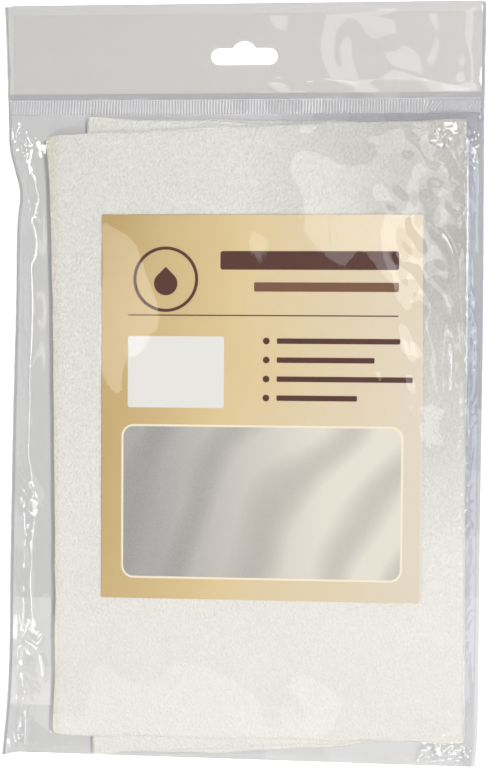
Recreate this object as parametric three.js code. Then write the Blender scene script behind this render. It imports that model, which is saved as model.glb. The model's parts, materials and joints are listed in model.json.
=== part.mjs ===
// A chamois leather sealed in a clear hanging bag, with a folded card in front of it.
// The pack lies on its back: +X across it, +Y towards the header, +Z out of its front, in millimetres.
// The origin is the middle of the pack's back, on the surface that it lies on.
import * as THREE from 'three';

// The leather is one hide, folded in half along its bottom edge and then in three across its width.
// Its left fold has the full folded length; raise and drop say how far short the other edges stop.
const LEATHER_THICKNESS = 0.9;
const LAYER_GAP = 0.35;
const FRONT_PANEL_WIDTH = 198.8;
const BACK_PANEL_WIDTH = 180.3;
const FOLDED_LENGTH = 307.9;
const FREE_EDGE_RAISE = 9.7;
const FREE_EDGE_DROP = 8.7;
const RIGHT_FOLD_RAISE = 9.3;
const RIGHT_FOLD_DROP = 4.1;
const INNER_EDGE_RAISE = 6;
const INNER_EDGE_DROP = 7.9;
const INNER_EDGE_SHORT = 2.4;
const FREE_CORNER_RADIUS = 2.5;
const LEATHER_TURN = THREE.MathUtils.degToRad(0.57);

// The card is one piece of board folded at its top, with a slightly skewed and shorter back leaf.
const CARD_WIDTH = 151.6;
const CARD_LENGTH = 183.4;
const CARD_STOCK = 0.3;
const CARD_LEAF_GAP = 0.3;
const CARD_RIGHT_OF_MIDDLE = 2.2;
const CARD_ABOVE_MIDDLE = 14.6;
const CARD_BACK_SKEW = 1.5;
const CARD_BACK_SHORT = 1.3;

// The bag leaves this much room round the folded leather.
const LEFT_SLACK = 21.7;
const RIGHT_SLACK = 8.1;
const LOW_SLACK = 3.3;
const HIGH_SLACK = 1.7;
const REST_GAP = 0.3;

// The bag's film, its welds and its folds.
const FILM = 0.1;
const SIDE_WELD = 1.6;
const WELD_BEAD = 0.3;
const BOTTOM_FOLD_RADIUS = 0.2;
const SEAM_GAP = 0.1;
const BUCKLE_DEPTH = 5.2;
const BUCKLE_REACH = 45;
const BUCKLE_BELOW_SEAL = 40.4;

// The ribbed heat seal, and the plain strip of film that the header folds on.
const RIB_BAND = 6.8;
const RIB_PITCH = 1.4;
const RIB_HEIGHT = 0.4;
const RIB_BASE = 0.2;
const FOLD_STRIP = 2.4;
const FOLD_CLEARANCE = 0.7;

// The header, its stiffener and its hang slot.
const HEADER_DEPTH = 42.9;
const STIFFENER_THICKNESS = 0.2;
const STIFFENER_SIDE_GAP = 0.8;
const STIFFENER_TOP_GAP = 4.2;
const PLY_CLEARANCE = 0.05;
const SLOT_WIDTH = 32;
const SLOT_HEIGHT = 8;
const SLOT_BELOW_TOP = 25;
const NOTCH_WIDTH = 11.2;
const NOTCH_RISE = 3.3;

// Sizes of the whole bag, worked out from what it holds.
const BAG_WIDTH = FRONT_PANEL_WIDTH + LEFT_SLACK + RIGHT_SLACK;
const POCKET_LENGTH = LOW_SLACK + FOLDED_LENGTH + HIGH_SLACK;
const SEAL_LENGTH = RIB_BAND + FOLD_STRIP;
const BAG_LENGTH = POCKET_LENGTH + SEAL_LENGTH + HEADER_DEPTH;
const RIGHT_EDGE = BAG_WIDTH / 2;
const TOP_EDGE = BAG_LENGTH / 2;
const BOTTOM_EDGE = -BAG_LENGTH / 2;
const SEAL_LOW = BOTTOM_EDGE + POCKET_LENGTH;
const STRIP_LOW = SEAL_LOW + RIB_BAND;
const HEADER_FOLD = STRIP_LOW + FOLD_STRIP;
const HEADER_LOW = HEADER_FOLD + FOLD_CLEARANCE;
const RIGHT_INNER = RIGHT_EDGE - SIDE_WELD - SEAM_GAP;

// Heights of the stack: back film, three doubled plies of leather, card, front film.
const PLY = 2 * LEATHER_THICKNESS + LAYER_GAP;
const PLY_PITCH = PLY + LAYER_GAP;
const BACK_PLY_HEIGHT = FILM + REST_GAP + PLY / 2;
const LEATHER_TOP = BACK_PLY_HEIGHT + 2 * PLY_PITCH + PLY / 2;
const CARD_BOTTOM = LEATHER_TOP + REST_GAP;
const CARD_TOP = CARD_BOTTOM + 2 * CARD_STOCK + CARD_LEAF_GAP;
const FILM_ROOF = CARD_TOP + REST_GAP;
const FILM_EDGE_HEIGHT = 2 * BOTTOM_FOLD_RADIUS - FILM;
const STIFFENER_HEIGHT = FILM + PLY_CLEARANCE;
const HEADER_FRONT_HEIGHT = STIFFENER_HEIGHT + STIFFENER_THICKNESS + PLY_CLEARANCE;
const HEADER_THICKNESS = HEADER_FRONT_HEIGHT + FILM;

// Places of the folded leather before it is turned in the bag.
const LEATHER_LEFT = -RIGHT_EDGE + LEFT_SLACK;
const LEATHER_RIGHT = RIGHT_EDGE - RIGHT_SLACK;
const LEATHER_LOW = BOTTOM_EDGE + LOW_SLACK;
const FREE_EDGE_LENGTH = FOLDED_LENGTH - FREE_EDGE_RAISE - FREE_EDGE_DROP;
const RIGHT_FOLD_LENGTH = FOLDED_LENGTH - RIGHT_FOLD_RAISE - RIGHT_FOLD_DROP;
const INNER_EDGE_LENGTH = FOLDED_LENGTH - INNER_EDGE_RAISE - INNER_EDGE_DROP;
const RIGHT_FOLD_RADIUS = PLY_PITCH;
const LEFT_FOLD_RADIUS = PLY_PITCH / 2;

// The turned leather's corners reach this much further across and along the bag.
const TURN_ACROSS = Math.sin(LEATHER_TURN) * FOLDED_LENGTH / 2;
const TURN_ALONG = Math.sin(LEATHER_TURN) * RIGHT_EDGE;

// Lengths over which the front film rises from its edges to the flat over the leather.
const EDGE_INSET = SEAM_GAP + FILM;
const LEFT_SLOPE = LEFT_SLACK - BUCKLE_DEPTH - SIDE_WELD - EDGE_INSET - TURN_ACROSS;
const RIGHT_SLOPE = RIGHT_SLACK - SIDE_WELD - EDGE_INSET - TURN_ACROSS + RIGHT_FOLD_RADIUS;
const FRONT_PLY_RAISE = Math.min(FREE_EDGE_RAISE, RIGHT_FOLD_RAISE);
const LOW_SLOPE = LOW_SLACK + FRONT_PLY_RAISE - BOTTOM_FOLD_RADIUS - EDGE_INSET - TURN_ALONG;
const FRONT_PLY_DROP = Math.min(FREE_EDGE_DROP, RIGHT_FOLD_DROP);
const HIGH_SLOPE = HIGH_SLACK + FRONT_PLY_DROP - EDGE_INSET - TURN_ALONG;

const finishes = {
  film: { color: 0xd6d7db, roughness: 0.12, metalness: 0 },
  stiffener: { color: 0xcbcbc6, roughness: 0.3, metalness: 0 },
  leather: { color: 0xe4e1d6, roughness: 0.9, metalness: 0 },
  card: { color: 0xd8bf84, roughness: 0.5, metalness: 0 },
};

const pack = new THREE.Group();

function addPiece(name, geometry, finish) {
  const mesh = new THREE.Mesh(geometry, new THREE.MeshStandardMaterial(finishes[finish]));
  mesh.name = name;
  pack.add(mesh);
  return mesh;
}

// A closed surface from points and triangles.
function surface(points, triangles) {
  const geometry = new THREE.BufferGeometry();
  geometry.setFromPoints(points);
  geometry.setIndex(triangles.flat());
  geometry.computeVertexNormals();
  return geometry;
}

// A closed solid through rings of points that all follow one outline, capped at both ends.
// An outline that runs counter-clockwise, seen against the direction of travel, faces outwards.
function loft(rings, outline) {
  const count = outline.length;
  const triangles = [];
  for (let ring = 0; ring + 1 < rings.length; ring++) {
    for (let i = 0; i < count; i++) {
      const a = ring * count + i;
      const b = ring * count + (i + 1) % count;
      triangles.push([a, b, b + count], [a, b + count, a + count]);
    }
  }
  const last = (rings.length - 1) * count;
  for (const [a, b, c] of THREE.ShapeUtils.triangulateShape(outline, [])) {
    triangles.push([c, b, a], [last + a, last + b, last + c]);
  }
  return surface(rings.flat(), triangles);
}

// A flat sheet of the outline given, from one height up.
function sheet(shape, height, thickness) {
  const geometry = new THREE.ExtrudeGeometry(shape, { depth: thickness, bevelEnabled: false, curveSegments: 8 });
  return geometry.translate(0, 0, height);
}

function rectangle(left, low, right, high) {
  const corners = [[left, low], [right, low], [right, high], [left, high]];
  return new THREE.Shape(corners.map(([x, y]) => new THREE.Vector2(x, y)));
}

// The bag's left edge, which has buckled inward below the seal.
function leftEdge(y) {
  const along = (y - SEAL_LOW + BUCKLE_BELOW_SEAL) / BUCKLE_REACH;
  const bell = Math.abs(along) < 1 ? (1 - along * along) ** 2 : 0;
  return -RIGHT_EDGE + BUCKLE_DEPTH * bell;
}

function leftInner(y) {
  return leftEdge(y) + SIDE_WELD + SEAM_GAP;
}

// Heights along the left edge between two ends, close together only where it is buckled.
function leftEdgeHeights(low, high) {
  const steps = 18;
  const middle = SEAL_LOW - BUCKLE_BELOW_SEAL;
  const heights = [low];
  for (let i = 0; i <= steps; i++) {
    const y = middle + BUCKLE_REACH * (2 * i / steps - 1);
    if (y > low && y < high) heights.push(y);
  }
  return [...heights, high];
}

function pocketOutline(low, high) {
  const left = leftEdgeHeights(low, high).map((y) => new THREE.Vector2(leftInner(y), y));
  return new THREE.Shape([...left, new THREE.Vector2(RIGHT_INNER, high), new THREE.Vector2(RIGHT_INNER, low)]);
}

function addBackFilm() {
  const low = BOTTOM_EDGE + BOTTOM_FOLD_RADIUS + SEAM_GAP;
  addPiece('back_film', sheet(pocketOutline(low, SEAL_LOW - SEAM_GAP), 0, FILM), 'film');
}

function addSideWelds() {
  const high = STRIP_LOW - SEAM_GAP;
  const heights = leftEdgeHeights(BOTTOM_EDGE, high);
  const outer = heights.map((y) => new THREE.Vector2(leftEdge(y), y));
  const inner = heights.map((y) => new THREE.Vector2(leftEdge(y) + SIDE_WELD, y)).reverse();
  addPiece('left_side_weld', sheet(new THREE.Shape([...outer, ...inner]), 0, WELD_BEAD), 'film');
  const right = rectangle(RIGHT_EDGE - SIDE_WELD, BOTTOM_EDGE, RIGHT_EDGE, high);
  addPiece('right_side_weld', sheet(right, 0, WELD_BEAD), 'film');
}

// A half-round fold of film along X whose outside bulges towards +Y, or towards -Y where way is -1.
function foldedEdge(left, right, edge, radius, way) {
  const steps = 6;
  const outside = [];
  const inside = [];
  for (let i = 0; i <= steps; i++) {
    const angle = Math.PI * (i / steps - 0.5);
    outside.push(new THREE.Vector2(radius * Math.cos(angle), radius * Math.sin(angle)));
    inside.push(new THREE.Vector2((radius - FILM) * Math.cos(angle), (radius - FILM) * Math.sin(angle)));
  }
  const outline = [...outside, ...inside.reverse()];
  const place = (x) => outline.map((p) => new THREE.Vector3(x, edge + way * (p.x - radius), p.y + radius));
  return loft(way > 0 ? [place(left), place(right)] : [place(right), place(left)], outline);
}

function addBottomFold() {
  const fold = foldedEdge(leftInner(BOTTOM_EDGE), RIGHT_INNER, BOTTOM_EDGE, BOTTOM_FOLD_RADIUS, -1);
  addPiece('bottom_fold', fold, 'film');
}

// Steps up a quarter ellipse: run goes from the film's edge inwards, rise from its edge height to its roof.
function slopeSteps() {
  const steps = 5;
  return Array.from({ length: steps + 1 }, (_, i) => {
    const angle = Math.PI / 2 * i / steps;
    return { run: 1 - Math.cos(angle), rise: Math.sin(angle) };
  });
}

// The front film rises from its four edges and lies flat over the leather and the card's travel.
function addFrontFilm() {
  const slope = slopeSteps();
  const low = BOTTOM_EDGE + BOTTOM_FOLD_RADIUS + EDGE_INSET;
  const high = SEAL_LOW - EDGE_INSET;
  const between = leftEdgeHeights(low + LOW_SLOPE, high - HIGH_SLOPE).slice(1, -1);
  const rows = [
    ...slope.map(({ run, rise }) => ({ y: low + LOW_SLOPE * run, rise })),
    ...between.map((y) => ({ y, rise: 1 })),
    ...slope.map(({ run, rise }) => ({ y: high - HIGH_SLOPE * run, rise })).reverse(),
  ];
  const acrossSteps = [0.25, 0.5, 0.75];
  const points = rows.map(({ y, rise: rowRise }) => {
    const left = leftInner(y) + FILM;
    const right = RIGHT_INNER - FILM;
    const flat = [left + LEFT_SLOPE, right - RIGHT_SLOPE];
    const columns = [
      ...slope.map(({ run, rise }) => ({ x: left + LEFT_SLOPE * run, rise })),
      ...acrossSteps.map((share) => ({ x: THREE.MathUtils.lerp(...flat, share), rise: 1 })),
      ...slope.map(({ run, rise }) => ({ x: right - RIGHT_SLOPE * run, rise })).reverse(),
    ];
    return columns.map(({ x, rise }) => {
      const z = THREE.MathUtils.lerp(FILM_EDGE_HEIGHT, FILM_ROOF, rise * rowRise);
      return new THREE.Vector3(x, y, z);
    });
  });
  addPiece('front_film', thickened(points, FILM), 'film');
}

// A closed sheet of even thickness above a grid of points.
function thickened(grid, thickness) {
  const wide = grid[0].length;
  const points = grid.flat();
  const upper = [];
  for (let row = 0; row + 1 < grid.length; row++) {
    for (let column = 0; column + 1 < wide; column++) {
      const a = row * wide + column;
      upper.push([a, a + 1, a + wide + 1], [a, a + wide + 1, a + wide]);
    }
  }
  const normals = surface(points, upper).getAttribute('normal');
  const raised = points.map((point, i) => {
    const normal = new THREE.Vector3().fromBufferAttribute(normals, i);
    return point.clone().addScaledVector(normal, thickness);
  });
  const count = points.length;
  const lower = upper.map(([a, b, c]) => [c, b, a]);
  const outer = upper.map((triangle) => triangle.map((i) => i + count));
  const rim = rimOf(grid.length, wide).flatMap(([a, b]) => [[a, b, b + count], [a, b + count, a + count]]);
  return surface([...points, ...raised], [...lower, ...outer, ...rim]);
}

// The edges round a grid of points, counter-clockwise seen from above.
function rimOf(rows, columns) {
  const last = (rows - 1) * columns;
  const round = [];
  for (let i = 0; i < columns; i++) round.push(i);
  for (let i = 1; i < rows; i++) round.push(i * columns + columns - 1);
  for (let i = columns - 2; i >= 0; i--) round.push(last + i);
  for (let i = rows - 2; i > 0; i--) round.push(i * columns);
  return round.map((a, i) => [a, round[(i + 1) % round.length]]);
}

// The heat seal: a band whose front is pressed into upright ribs.
function addRibbedSeal() {
  const left = leftInner(SEAL_LOW);
  const count = Math.floor((RIGHT_INNER - left) / RIB_PITCH);
  const margin = (RIGHT_INNER - left - count * RIB_PITCH) / 2;
  const outline = [new THREE.Vector2(left, 0), new THREE.Vector2(RIGHT_INNER, 0)];
  outline.push(new THREE.Vector2(RIGHT_INNER, RIB_BASE));
  for (let i = count; i >= 0; i--) {
    const x = left + margin + i * RIB_PITCH;
    if (i < count) outline.push(new THREE.Vector2(x + RIB_PITCH / 2, RIB_BASE + RIB_HEIGHT));
    if (i > 0 && i < count) outline.push(new THREE.Vector2(x, RIB_BASE));
  }
  outline.push(new THREE.Vector2(left, RIB_BASE));
  const place = (y) => outline.map((p) => new THREE.Vector3(p.x, y, p.y));
  addPiece('ribbed_seal', loft([place(STRIP_LOW - SEAM_GAP), place(SEAL_LOW)], outline), 'film');
}

// The header bends on this strip, which is thin enough to stay clear of the folded header.
function addFoldStrip() {
  const strip = rectangle(-RIGHT_EDGE, STRIP_LOW, RIGHT_EDGE, HEADER_FOLD - SEAM_GAP);
  addPiece('fold_strip', sheet(strip, 0, FILM), 'film');
}

// The hang slot: a long hole with round ends and a round notch in its upper edge.
function hangSlot() {
  const radius = SLOT_HEIGHT / 2;
  const reach = SLOT_WIDTH / 2 - radius;
  const middle = TOP_EDGE - SLOT_BELOW_TOP;
  const half = NOTCH_WIDTH / 2;
  const notchRadius = (half ** 2 + NOTCH_RISE ** 2) / (2 * NOTCH_RISE);
  const notchMiddle = middle + radius + NOTCH_RISE - notchRadius;
  const notchAngle = Math.atan2(notchRadius - NOTCH_RISE, half);
  const slot = new THREE.Path();
  slot.absarc(reach, middle, radius, -Math.PI / 2, Math.PI / 2, false);
  slot.absarc(0, notchMiddle, notchRadius, notchAngle, Math.PI - notchAngle, false);
  slot.absarc(-reach, middle, radius, Math.PI / 2, 3 * Math.PI / 2, false);
  slot.closePath();
  return slot;
}

function headerPanel(side, high) {
  const panel = rectangle(-side, HEADER_LOW, side, high);
  panel.holes.push(hangSlot());
  return panel;
}

function addHeader() {
  const foldRadius = HEADER_THICKNESS / 2;
  const filmHigh = TOP_EDGE - foldRadius - SEAM_GAP;
  const film = headerPanel(RIGHT_INNER, filmHigh);
  const stiffener = headerPanel(RIGHT_INNER - STIFFENER_SIDE_GAP, filmHigh - STIFFENER_TOP_GAP);
  addPiece('header_back_film', sheet(film, 0, FILM), 'film');
  addPiece('header_stiffener', sheet(stiffener, STIFFENER_HEIGHT, STIFFENER_THICKNESS), 'stiffener');
  addPiece('header_front_film', sheet(film, HEADER_FRONT_HEIGHT, FILM), 'film');
  addPiece('header_top_fold', foldedEdge(-RIGHT_INNER, RIGHT_INNER, TOP_EDGE, foldRadius, 1), 'film');
  const rightWeld = rectangle(RIGHT_EDGE - SIDE_WELD, HEADER_LOW, RIGHT_EDGE, TOP_EDGE);
  const leftWeld = rectangle(-RIGHT_EDGE, HEADER_LOW, SIDE_WELD - RIGHT_EDGE, TOP_EDGE);
  addPiece('header_left_weld', sheet(leftWeld, 0, HEADER_THICKNESS), 'film');
  addPiece('header_right_weld', sheet(rightWeld, 0, HEADER_THICKNESS), 'film');
}

// Section of a ply of leather: two layers joined by a half-round fold at the bottom.
// x is the height along the ply and y the distance from its middle.
function plySection(low, high) {
  const steps = 6;
  const half = PLY / 2;
  const turn = low + half;
  const arc = (radius, i) => {
    const angle = Math.PI / 2 + Math.PI * i / steps;
    return new THREE.Vector2(turn + radius * Math.cos(angle), radius * Math.sin(angle));
  };
  const rounds = Array.from({ length: steps + 1 }, (_, i) => i);
  const outside = rounds.map((i) => arc(half, i));
  const inside = rounds.map((i) => arc(LAYER_GAP / 2, i)).reverse();
  const backEnd = [new THREE.Vector2(high, -half), new THREE.Vector2(high, -LAYER_GAP / 2)];
  const frontEnd = [new THREE.Vector2(high, LAYER_GAP / 2), new THREE.Vector2(high, half)];
  return [...outside, ...backEnd, ...inside, ...frontEnd];
}

// Stations along the doubled leather, from the front panel's free edge to the edge hidden inside.
function leatherStations() {
  const { lerp, smoothstep } = THREE.MathUtils;
  const outerTurn = LEATHER_RIGHT - PLY / 2 - RIGHT_FOLD_RADIUS;
  const innerTurn = LEATHER_RIGHT - BACK_PANEL_WIDTH + PLY / 2 + LEFT_FOLD_RADIUS;
  const frontHeight = BACK_PLY_HEIGHT + 2 * PLY_PITCH;
  const stations = [];
  const station = (x, z, angle, raise, length) => stations.push({ x, z, angle, raise, length });
  const cornerSteps = 4;
  for (let i = 0; i < cornerSteps; i++) {
    const angle = Math.PI / 2 * i / cornerSteps;
    const across = FREE_CORNER_RADIUS * (1 - Math.cos(angle));
    const round = FREE_CORNER_RADIUS * (1 - Math.sin(angle));
    station(LEATHER_LEFT + across, frontHeight, 0, FREE_EDGE_RAISE + round, FREE_EDGE_LENGTH - round);
  }
  const panelSteps = 6;
  const start = LEATHER_LEFT + FREE_CORNER_RADIUS;
  for (let i = 0; i < panelSteps; i++) {
    const share = i / panelSteps;
    const raise = lerp(FREE_EDGE_RAISE, RIGHT_FOLD_RAISE, share);
    const length = lerp(FREE_EDGE_LENGTH, RIGHT_FOLD_LENGTH, Math.sin(share * Math.PI / 2));
    station(lerp(start, outerTurn, share), frontHeight, 0, raise, length);
  }
  const turnSteps = 8;
  for (let i = 0; i < turnSteps; i++) {
    const angle = -Math.PI * i / turnSteps;
    const x = outerTurn - RIGHT_FOLD_RADIUS * Math.sin(angle);
    const z = frontHeight - RIGHT_FOLD_RADIUS * (1 - Math.cos(angle));
    station(x, z, angle, RIGHT_FOLD_RAISE, RIGHT_FOLD_LENGTH);
  }
  for (let i = 0; i < panelSteps; i++) {
    const share = i / panelSteps;
    const raise = lerp(RIGHT_FOLD_RAISE, 0, smoothstep(share, 0, 1));
    const top = lerp(RIGHT_FOLD_RAISE + RIGHT_FOLD_LENGTH, FOLDED_LENGTH, share);
    station(lerp(outerTurn, innerTurn, share), BACK_PLY_HEIGHT, -Math.PI, raise, top - raise);
  }
  for (let i = 0; i < turnSteps; i++) {
    const angle = -Math.PI * (1 + i / turnSteps);
    const x = innerTurn - LEFT_FOLD_RADIUS * Math.sin(angle);
    const z = BACK_PLY_HEIGHT + LEFT_FOLD_RADIUS * (1 + Math.cos(angle));
    station(x, z, angle, 0, FOLDED_LENGTH);
  }
  const middleHeight = BACK_PLY_HEIGHT + PLY_PITCH;
  const turnEnd = -2 * Math.PI;
  station(innerTurn, middleHeight, turnEnd, 0, FOLDED_LENGTH);
  station(outerTurn - INNER_EDGE_SHORT, middleHeight, turnEnd, INNER_EDGE_RAISE, INNER_EDGE_LENGTH);
  return stations;
}

function addLeather() {
  const rings = leatherStations().map(({ x, z, angle, raise, length }) => {
    const low = LEATHER_LOW + raise;
    const outward = new THREE.Vector3(-Math.sin(angle), 0, Math.cos(angle));
    return plySection(low, low + length).map((p) => {
      return new THREE.Vector3(x, p.x, z).addScaledVector(outward, p.y);
    });
  });
  const leather = addPiece('chamois_leather', loft(rings, plySection(0, FREE_EDGE_LENGTH)), 'leather');
  leather.rotation.z = LEATHER_TURN;
}

function addCard() {
  const middle = (LEATHER_LEFT + LEATHER_RIGHT) / 2 + CARD_RIGHT_OF_MIDDLE;
  const low = LEATHER_LOW + FREE_EDGE_RAISE + (FREE_EDGE_LENGTH - CARD_LENGTH) / 2 + CARD_ABOVE_MIDDLE;
  const foldRadius = (CARD_STOCK + CARD_LEAF_GAP) / 2;
  const foldLine = low + CARD_LENGTH - foldRadius - CARD_STOCK / 2;
  const foldHeight = CARD_BOTTOM + CARD_STOCK / 2 + foldRadius;
  const half = CARD_STOCK / 2;
  const corners = (skew) => [
    new THREE.Vector2(middle - CARD_WIDTH / 2, -half),
    new THREE.Vector2(middle + CARD_WIDTH / 2 + skew, -half),
    new THREE.Vector2(middle + CARD_WIDTH / 2 + skew, half),
    new THREE.Vector2(middle - CARD_WIDTH / 2, half),
  ];
  const ring = (y, z, angle, skew) => corners(skew).map((p) => {
    return new THREE.Vector3(p.x, y + p.y * Math.sin(angle), z + p.y * Math.cos(angle));
  });
  const rings = [ring(low, foldHeight + foldRadius, 0, 0)];
  const turnSteps = 6;
  for (let i = 0; i <= turnSteps; i++) {
    const angle = Math.PI * i / turnSteps;
    rings.push(ring(foldLine + foldRadius * Math.sin(angle), foldHeight + foldRadius * Math.cos(angle), angle, 0));
  }
  rings.push(ring(low + CARD_BACK_SHORT, foldHeight - foldRadius, Math.PI, CARD_BACK_SKEW));
  addPiece('insert_card', loft(rings.reverse(), corners(0)), 'card');
}

addBackFilm();
addSideWelds();
addBottomFold();
addFrontFilm();
addRibbedSeal();
addFoldStrip();
addHeader();
addLeather();
addCard();

export default pack;
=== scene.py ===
# %% [markdown]
# # A chamois leather in its hanging bag
#
# The object is a shop pack. A folded hide and a folded card lie loose in a bag of clear film. A ribbed
# heat seal closes the bag, and above it a stiffened header with a hang slot folds on a narrow strip of
# film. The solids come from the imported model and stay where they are. This lesson makes the film, the
# welds, the hide and the card as fine meshes in the same frame, and gives every surface its finish.

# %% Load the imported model
import json
import math

import bmesh
import bpy
import numpy as np
from mathutils import Matrix, Vector


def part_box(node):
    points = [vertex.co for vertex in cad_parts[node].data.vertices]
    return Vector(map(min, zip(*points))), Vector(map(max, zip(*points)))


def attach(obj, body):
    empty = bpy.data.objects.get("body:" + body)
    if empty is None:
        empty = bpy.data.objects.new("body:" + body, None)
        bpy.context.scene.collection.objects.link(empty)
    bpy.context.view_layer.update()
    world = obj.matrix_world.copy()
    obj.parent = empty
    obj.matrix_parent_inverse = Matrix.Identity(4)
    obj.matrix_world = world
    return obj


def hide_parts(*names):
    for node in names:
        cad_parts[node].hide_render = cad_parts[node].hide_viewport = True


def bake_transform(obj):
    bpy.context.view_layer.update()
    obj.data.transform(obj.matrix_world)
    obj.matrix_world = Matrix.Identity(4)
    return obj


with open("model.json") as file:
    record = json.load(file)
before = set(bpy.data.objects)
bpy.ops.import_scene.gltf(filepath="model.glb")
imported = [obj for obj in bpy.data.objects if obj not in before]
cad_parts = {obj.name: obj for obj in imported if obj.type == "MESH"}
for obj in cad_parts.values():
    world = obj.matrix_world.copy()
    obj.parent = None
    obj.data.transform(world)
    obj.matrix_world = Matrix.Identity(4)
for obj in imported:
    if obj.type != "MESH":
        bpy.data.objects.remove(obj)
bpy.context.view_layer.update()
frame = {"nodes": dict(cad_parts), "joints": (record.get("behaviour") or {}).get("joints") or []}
MM = 0.001
scene = bpy.context.scene
joints = {joint["name"]: joint for joint in frame["joints"]}


def put(name, data):
    """Adds an object to the scene."""
    thing = bpy.data.objects.new(name, data)
    scene.collection.objects.link(thing)
    return thing


# %% [markdown]
# ## The camera
#
# The photograph looks down on the pack from about half a metre, leaning a little. A camera could be set
# by eye. Here its distance and three small turns were fitted to the pack's corners, the hang slot and the
# card, so that the render and the photograph line up.

# %% Camera
LENS = 50
SENSOR = 36
EYE = (0.34, 1.09, 514.8)
EYE_YAW = math.radians(-3.347)
EYE_PITCH = math.radians(2)
EYE_ROLL = math.radians(-0.383)


def add_camera():
    """Makes the scene's camera, looking down on the pack."""
    lean = Matrix.Rotation(EYE_ROLL, 3, "Z") @ Matrix.Rotation(EYE_PITCH, 3, "X")
    upright = (lean @ Matrix.Rotation(EYE_YAW, 3, "Y")).transposed()
    camera = put("camera", bpy.data.cameras.new("camera"))
    camera.data.lens = LENS
    camera.data.sensor_width = SENSOR
    camera.matrix_world = Matrix.Translation(upright @ Vector(EYE) * MM) @ upright.to_4x4()
    scene.camera = camera
    return camera


print("camera at", [round(v, 3) for v in add_camera().matrix_world.translation])

# %% [markdown]
# ## Sizes
#
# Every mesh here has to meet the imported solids, so its sizes come from their boxes. Lengths are in
# millimetres until a mesh is made. Only what the boxes can't say is written as a number: how the soft
# edges of the bag run, and how the hide is folded.

# %% Read the solids' boxes


def box_mm(node):
    """A node's lowest and highest corner at rest, in millimetres."""
    return [np.array(corner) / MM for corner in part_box(node)]


seal_low, seal_high = box_mm("ribbed_seal")
weld_low, weld_high = box_mm("right_side_weld")
strip_low = box_mm("fold_strip")[0]
header_low, header_high = box_mm("header_front_film")
top_high = box_mm("header_top_fold")[1]
bottom_low, bottom_high = box_mm("bottom_fold")
card_low, card_high = box_mm("insert_card")
leather_low, leather_high = box_mm("chamois_leather")

FILM = box_mm("back_film")[1][2]
SEAM = 0.02
WELD = weld_high[0] - weld_low[0]
INSET = WELD + SEAM
print("film", round(FILM, 2), "weld", round(WELD, 2), "card", np.round(card_high - card_low, 1))

# %% Edges of the bag
LEFT_EDGE = [(-117.9, -183.4), (-115.4, -155.8), (-113.6, -81.4), (-112.3, -17.5), (-110.8, 41.1),
             (-110, 79.9), (-109, 94.4), (-111.4, 104), (-113.8, 113.7), (-114.2, 123.3),
             (-114.4, 132.7), (-115.3, 166.2), (-116, 182.9)]
RIGHT_EDGE = [(113.4, -182.7), (114.3, -172), (114.6, -140), (114.4, -83), (114.4, 40),
              (113.7, 139), (113.9, 182.1)]
BOTTOM_EDGE = [(-117.9, -183.4), (-110.2, -181.6), (113, -182.6)]
BOTTOM_LIFT = 0.3
EASED_FROM = -150


def ramp(x, start, end):
    """0 at the start and 1 at the end, and on beyond them."""
    return (x - start) / (end - start)


def share_between(x, start, end):
    """The same ramp, kept from 0 to 1."""
    return np.clip(ramp(x, start, end), 0, 1)


def smooth(share):
    return share ** 2 * (3 - 2 * share)


def smooth_through(points, at):
    """A smooth curve x(y) through points given as (x, y), read at any heights."""
    values, knots = np.array(points).T
    slopes = np.gradient(values, knots)
    at = np.clip(at, knots[0], knots[-1])
    i = np.clip(np.searchsorted(knots, at) - 1, 0, len(knots) - 2)
    span = knots[i + 1] - knots[i]
    t = (at - knots[i]) / span
    start = values[i] * (1 + 2 * t) + slopes[i] * span * t
    end = values[i + 1] * (3 - 2 * t) + slopes[i + 1] * span * (t - 1)
    return start * (1 - t) ** 2 + end * t ** 2


def left_edge(y):
    return smooth_through(LEFT_EDGE, y)


def right_edge(y):
    return smooth_through(RIGHT_EDGE, y)


def bottom_edge(x):
    return np.interp(x, *np.array(BOTTOM_EDGE).T)


def between_edges(low, high, rows, columns, inset=INSET):
    """A grid of places between the bag's two edges, as x and y."""
    heights = np.linspace(low, high, rows)
    left, right = left_edge(heights) + inset, right_edge(heights) - inset
    x = left[:, None] + (right - left)[:, None] * np.linspace(0, 1, columns)
    return x, np.repeat(heights[:, None], columns, 1)


def follow_bottom(x, y):
    """Heights of a grid, moved so that its lowest row runs along the bag's bottom edge."""
    share = share_between(y, EASED_FROM, bottom_high[1])
    return y + (bottom_edge(x) + BOTTOM_LIFT - bottom_high[1]) * share


print("bag width at the buckle and at the seal:",
      [round(float(right_edge(y) - left_edge(y)), 1) for y in (90, seal_low[1])])

# %% How the hide is folded
LEATHER_TURN = math.radians(0.57)
LAYER = 0.9
LAYER_GAP = 0.35
PLY = 2 * LAYER + LAYER_GAP
PLY_PITCH = PLY + LAYER_GAP
BACK_PLY = leather_low[2] + PLY / 2
FRONT_PLY = leather_high[2] - PLY / 2
HIDE_LEFT, HIDE_RIGHT, HIDE_INNER = -92.6, 106.2, -74.1
RIGHT_TURN = HIDE_RIGHT - PLY / 2 - PLY_PITCH
LEFT_TURN = HIDE_INNER + PLY / 2 + PLY_PITCH / 2
MIDDLE_SHORT = 2.4
MIDDLE_END = RIGHT_TURN - MIDDLE_SHORT
FRONT_ENDS = [(-169.5, 120), (-169.9, 124.6)]
BACK_ENDS = [(-179.2, 128.7), (-169.9, 124.6)]
MIDDLE_ENDS = [(-179.2, 128.7), (-168.6, 120.8)]
LOW_EASE = 1.6


def panel_ends(ends, low_share, high_share):
    """Low and high end of a panel, part of the way from its left side to its right."""
    (low_a, high_a), (low_b, high_b) = ends
    return low_a + (low_b - low_a) * low_share, high_a + (high_b - high_a) * high_share


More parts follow.
